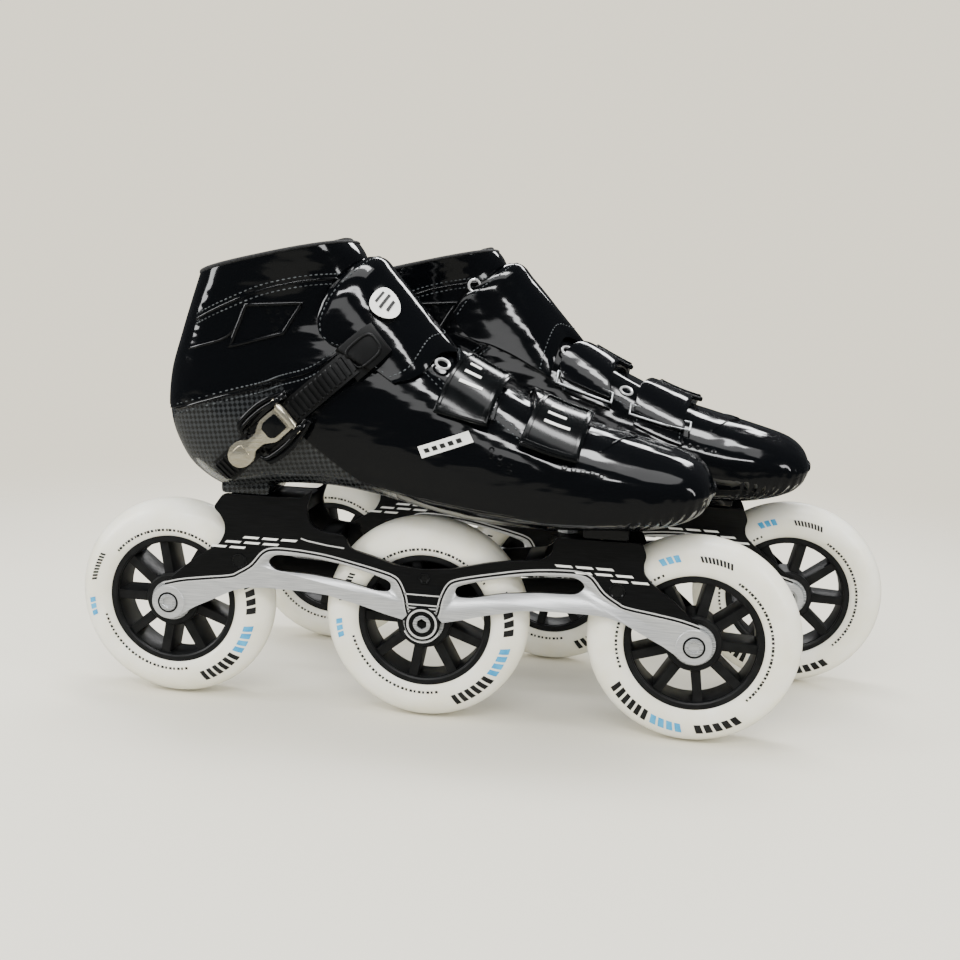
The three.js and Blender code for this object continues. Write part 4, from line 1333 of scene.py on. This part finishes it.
BADGE_U, BADGE_ANGLE = ridge_u(-22), math.radians(58)
BADGE_LONG, BADGE_WIDE, BADGE_RISE = 9.5, 7, 11.2
badge_middle = Vector(boot(BADGE_U, BADGE_ANGLE))
BADGE_STEP_U = 0.004 / (Vector(boot(BADGE_U + 0.004, BADGE_ANGLE)) - badge_middle).length
BADGE_STEP_ANGLE = 0.05 / (Vector(boot(BADGE_U, BADGE_ANGLE + 0.05)) - badge_middle).length


def badge_spot(along, across, rise):
    return boot(BADGE_U + along * BADGE_STEP_U, BADGE_ANGLE + across * BADGE_STEP_ANGLE, rise)


def badge_rule(a, b):
    grow, turn = 0.02 + 0.98 * a, 2 * math.pi * b
    return badge_spot(BADGE_LONG * grow * math.cos(turn), BADGE_WIDE * grow * math.sin(turn), BADGE_RISE)


def badge_bar(centre_line, half):
    def rule(a, b):
        return badge_spot(centre_line + 1.6 * (a - 0.5), half * (2 * b - 1), BADGE_RISE + 0.4)
    return bent_grid(rule, 3, 8, wall=0.3)


put(bent_grid(badge_rule, 6, 64, wall=0.3), "ankle_badge", PRINT_WHITE)
badge_bars = [badge_bar(centre_line, half) for centre_line, half in ((-4, 3), (0, 4), (4, 3))]
put(join(badge_bars), "ankle_badge_bars", PRINT_BLACK)
label_bars = [label([(3 + 4 * i, 151.6 + 1.5 * i), (5.4 + 4 * i, 152.5 + 1.5 * i),
                     (6.6 + 4 * i, 150.6 + 1.5 * i), (4.2 + 4 * i, 149.7 + 1.5 * i)], 0.6, 3, 3)
              for i in range(5)]
put(join(label_bars), "side_label_bars", PRINT_BLACK)
dimple_spots = [(-77 + 4.6 * i + 1.6 * j, 214 - 4.2 * j) for j in range(3) for i in range(3)]
dimple_spots += [(37 + 4.4 * i, 151 - 3.4 * i + 3 * j) for i in range(3) for j in (0, 1)]
dimple_spots += [(72 + 4.4 * i, 147.5 - 0.8 * i) for i in range(5)]
DIMPLE = [(0.6, 0), (0.7, 0.3), (1.3, 0.35), (1.5, 0), (1.3, -0.2)]
dimples = [stand_on_skin(turned(DIMPLE, 14), x, z, 0, inner) for inner in (False, True) for x,
           z in dimple_spots]
put(join(dimples), "vent_dimples", BUCKLE_PLASTIC)

# %% [markdown]
# ## Stage, light and camera
# A pale floor runs out to a pale room. Large soft lamps give the long highlights that show a gloss surface.

# %% Stage
# The floor fades out with distance, so no horizon shows. The room is pale to the eye, but dark in
# reflections, as it is in a studio where black cards stand round a gloss object.
FLOOR, floor_shader = finish("pale studio floor", "#E4E0D2", 0.7)
FLOOR_FADE = (0.3, 0.85)
ground_spot = add(FLOOR, "ShaderNodeTexCoord").outputs["Object"]
reach = add(FLOOR, "ShaderNodeVectorMath", None, {0: ground_spot}, operation="LENGTH").outputs["Value"]
fade = add(FLOOR, "ShaderNodeMapRange", {"From Min": FLOOR_FADE[0], "From Max": FLOOR_FADE[1]},
           {"Value": reach}, interpolation_type="SMOOTHSTEP").outputs["Result"]
mirrored = add(FLOOR, "ShaderNodeLightPath").outputs["Is Glossy Ray"]
hidden = add(FLOOR, "ShaderNodeMath", {1: 0.85}, {0: mirrored}, operation="MULTIPLY").outputs[0]
see_through = add(FLOOR, "ShaderNodeMath", None, {0: fade, 1: hidden}, operation="MAXIMUM").outputs[0]
clear = add(FLOOR, "ShaderNodeBsdfTransparent").outputs[0]
floor_mix = add(FLOOR, "ShaderNodeMixShader", None, {0: see_through, 1: floor_shader.outputs[0], 2: clear})
FLOOR.node_tree.links.new(floor_mix.outputs[0], FLOOR.node_tree.nodes["Material Output"].inputs["Surface"])
deselect()
bpy.ops.mesh.primitive_circle_add(vertices=96, radius=1.05, fill_type="NGON",
                                  location=(0, 0, cad_low[2] - 0.0002))
ground = bpy.context.object
ground.name = "studio_floor"
ground.data.materials.append(FLOOR)
ground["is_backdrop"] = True

world = bpy.data.worlds.new("studio")
bpy.context.scene.world = world
world.use_nodes = True
ROOM = (("#FFF7E2", 1.5), ("#F2F2EE", 1.3), ("#C9CDD2", 0.1))
shades = []
for colour, strength in ROOM:
    shades.append(add(world, "ShaderNodeBackground", {"Color": linear(colour),
                                                      "Strength": strength}).outputs[0])
rays = add(world, "ShaderNodeLightPath")
soft = add(world, "ShaderNodeMixShader", None, {0: rays.outputs["Is Glossy Ray"], 1: shades[1],
                                                2: shades[2]})
seen = add(world, "ShaderNodeMixShader", None, {0: rays.outputs["Is Camera Ray"], 1: soft.outputs[0],
                                                2: shades[0]})
world.node_tree.links.new(seen.outputs[0], world.node_tree.nodes["World Output"].inputs["Surface"])


def lamp(name, place, aim, width, height, watts):
    light = bpy.data.lights.new(name, "AREA")
    light.shape = "RECTANGLE"
    light.size, light.size_y, light.energy = width, height, watts
    made = bpy.data.objects.new(name, light)
    bpy.context.collection.objects.link(made)
    made.location = place
    made.rotation_euler = (Vector(aim) - Vector(place)).to_track_quat("-Z", "Y").to_euler()


lamp("top_strip", (0.05, 0.15, 1.4), (0, 0, 0.1), 0.9, 0.22, 13)
lamp("top_wide", (0.0, -0.1, 1.6), (0, 0, 0.1), 1.7, 0.8, 10)
lamp("front_strip", (0.0, -0.95, 1.05), (0, 0, 0.12), 1.1, 0.12, 9)
lamp("left_strip", (-1.2, -0.45, 0.6), (0, 0, 0.15), 0.34, 0.8, 10)
lamp("right_strip", (1.3, -0.5, 0.7), (0, 0, 0.12), 0.2, 0.8, 6)
lamp("front_card", (-0.35, -1.35, 0.8), (0, 0, 0.15), 0.9, 0.3, 2)
lamp("back_strip", (0.1, 1.4, 0.9), (0, 0, 0.12), 1.0, 0.2, 8)

# %% Camera
# The camera stands in the right skate's own axes, and its lens and place were fitted to the wheels.
LENS_MM, SENSOR_MM = 40.83, 36
CAMERA_PLACE = Vector((107.20, -550.25, 237.88))
yaw, pitch, roll = math.radians(-8.4406), math.radians(10.9104), math.radians(2.2012)
forward = Vector((math.sin(yaw) * math.cos(pitch), math.cos(yaw) * math.cos(pitch), -math.sin(pitch)))
level = Vector((math.cos(yaw), -math.sin(yaw), 0))
upright = level.cross(forward)
right = level * math.cos(roll) + upright * math.sin(roll)
up = upright * math.cos(roll) - level * math.sin(roll)
camera_data = bpy.data.cameras.new("camera")
camera_data.sensor_width = SENSOR_MM
camera_data.lens = LENS_MM
camera = bpy.data.objects.new("camera", camera_data)
bpy.context.collection.objects.link(camera)
pose = Matrix((right, up, -forward)).transposed().to_4x4()
pose.translation = CAMERA_PLACE * MM
camera.matrix_world = SKATE["right"] @ pose
bpy.context.scene.camera = camera

# %% Sizes
import json
low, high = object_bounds()
print("visual box", list(low), list(high))
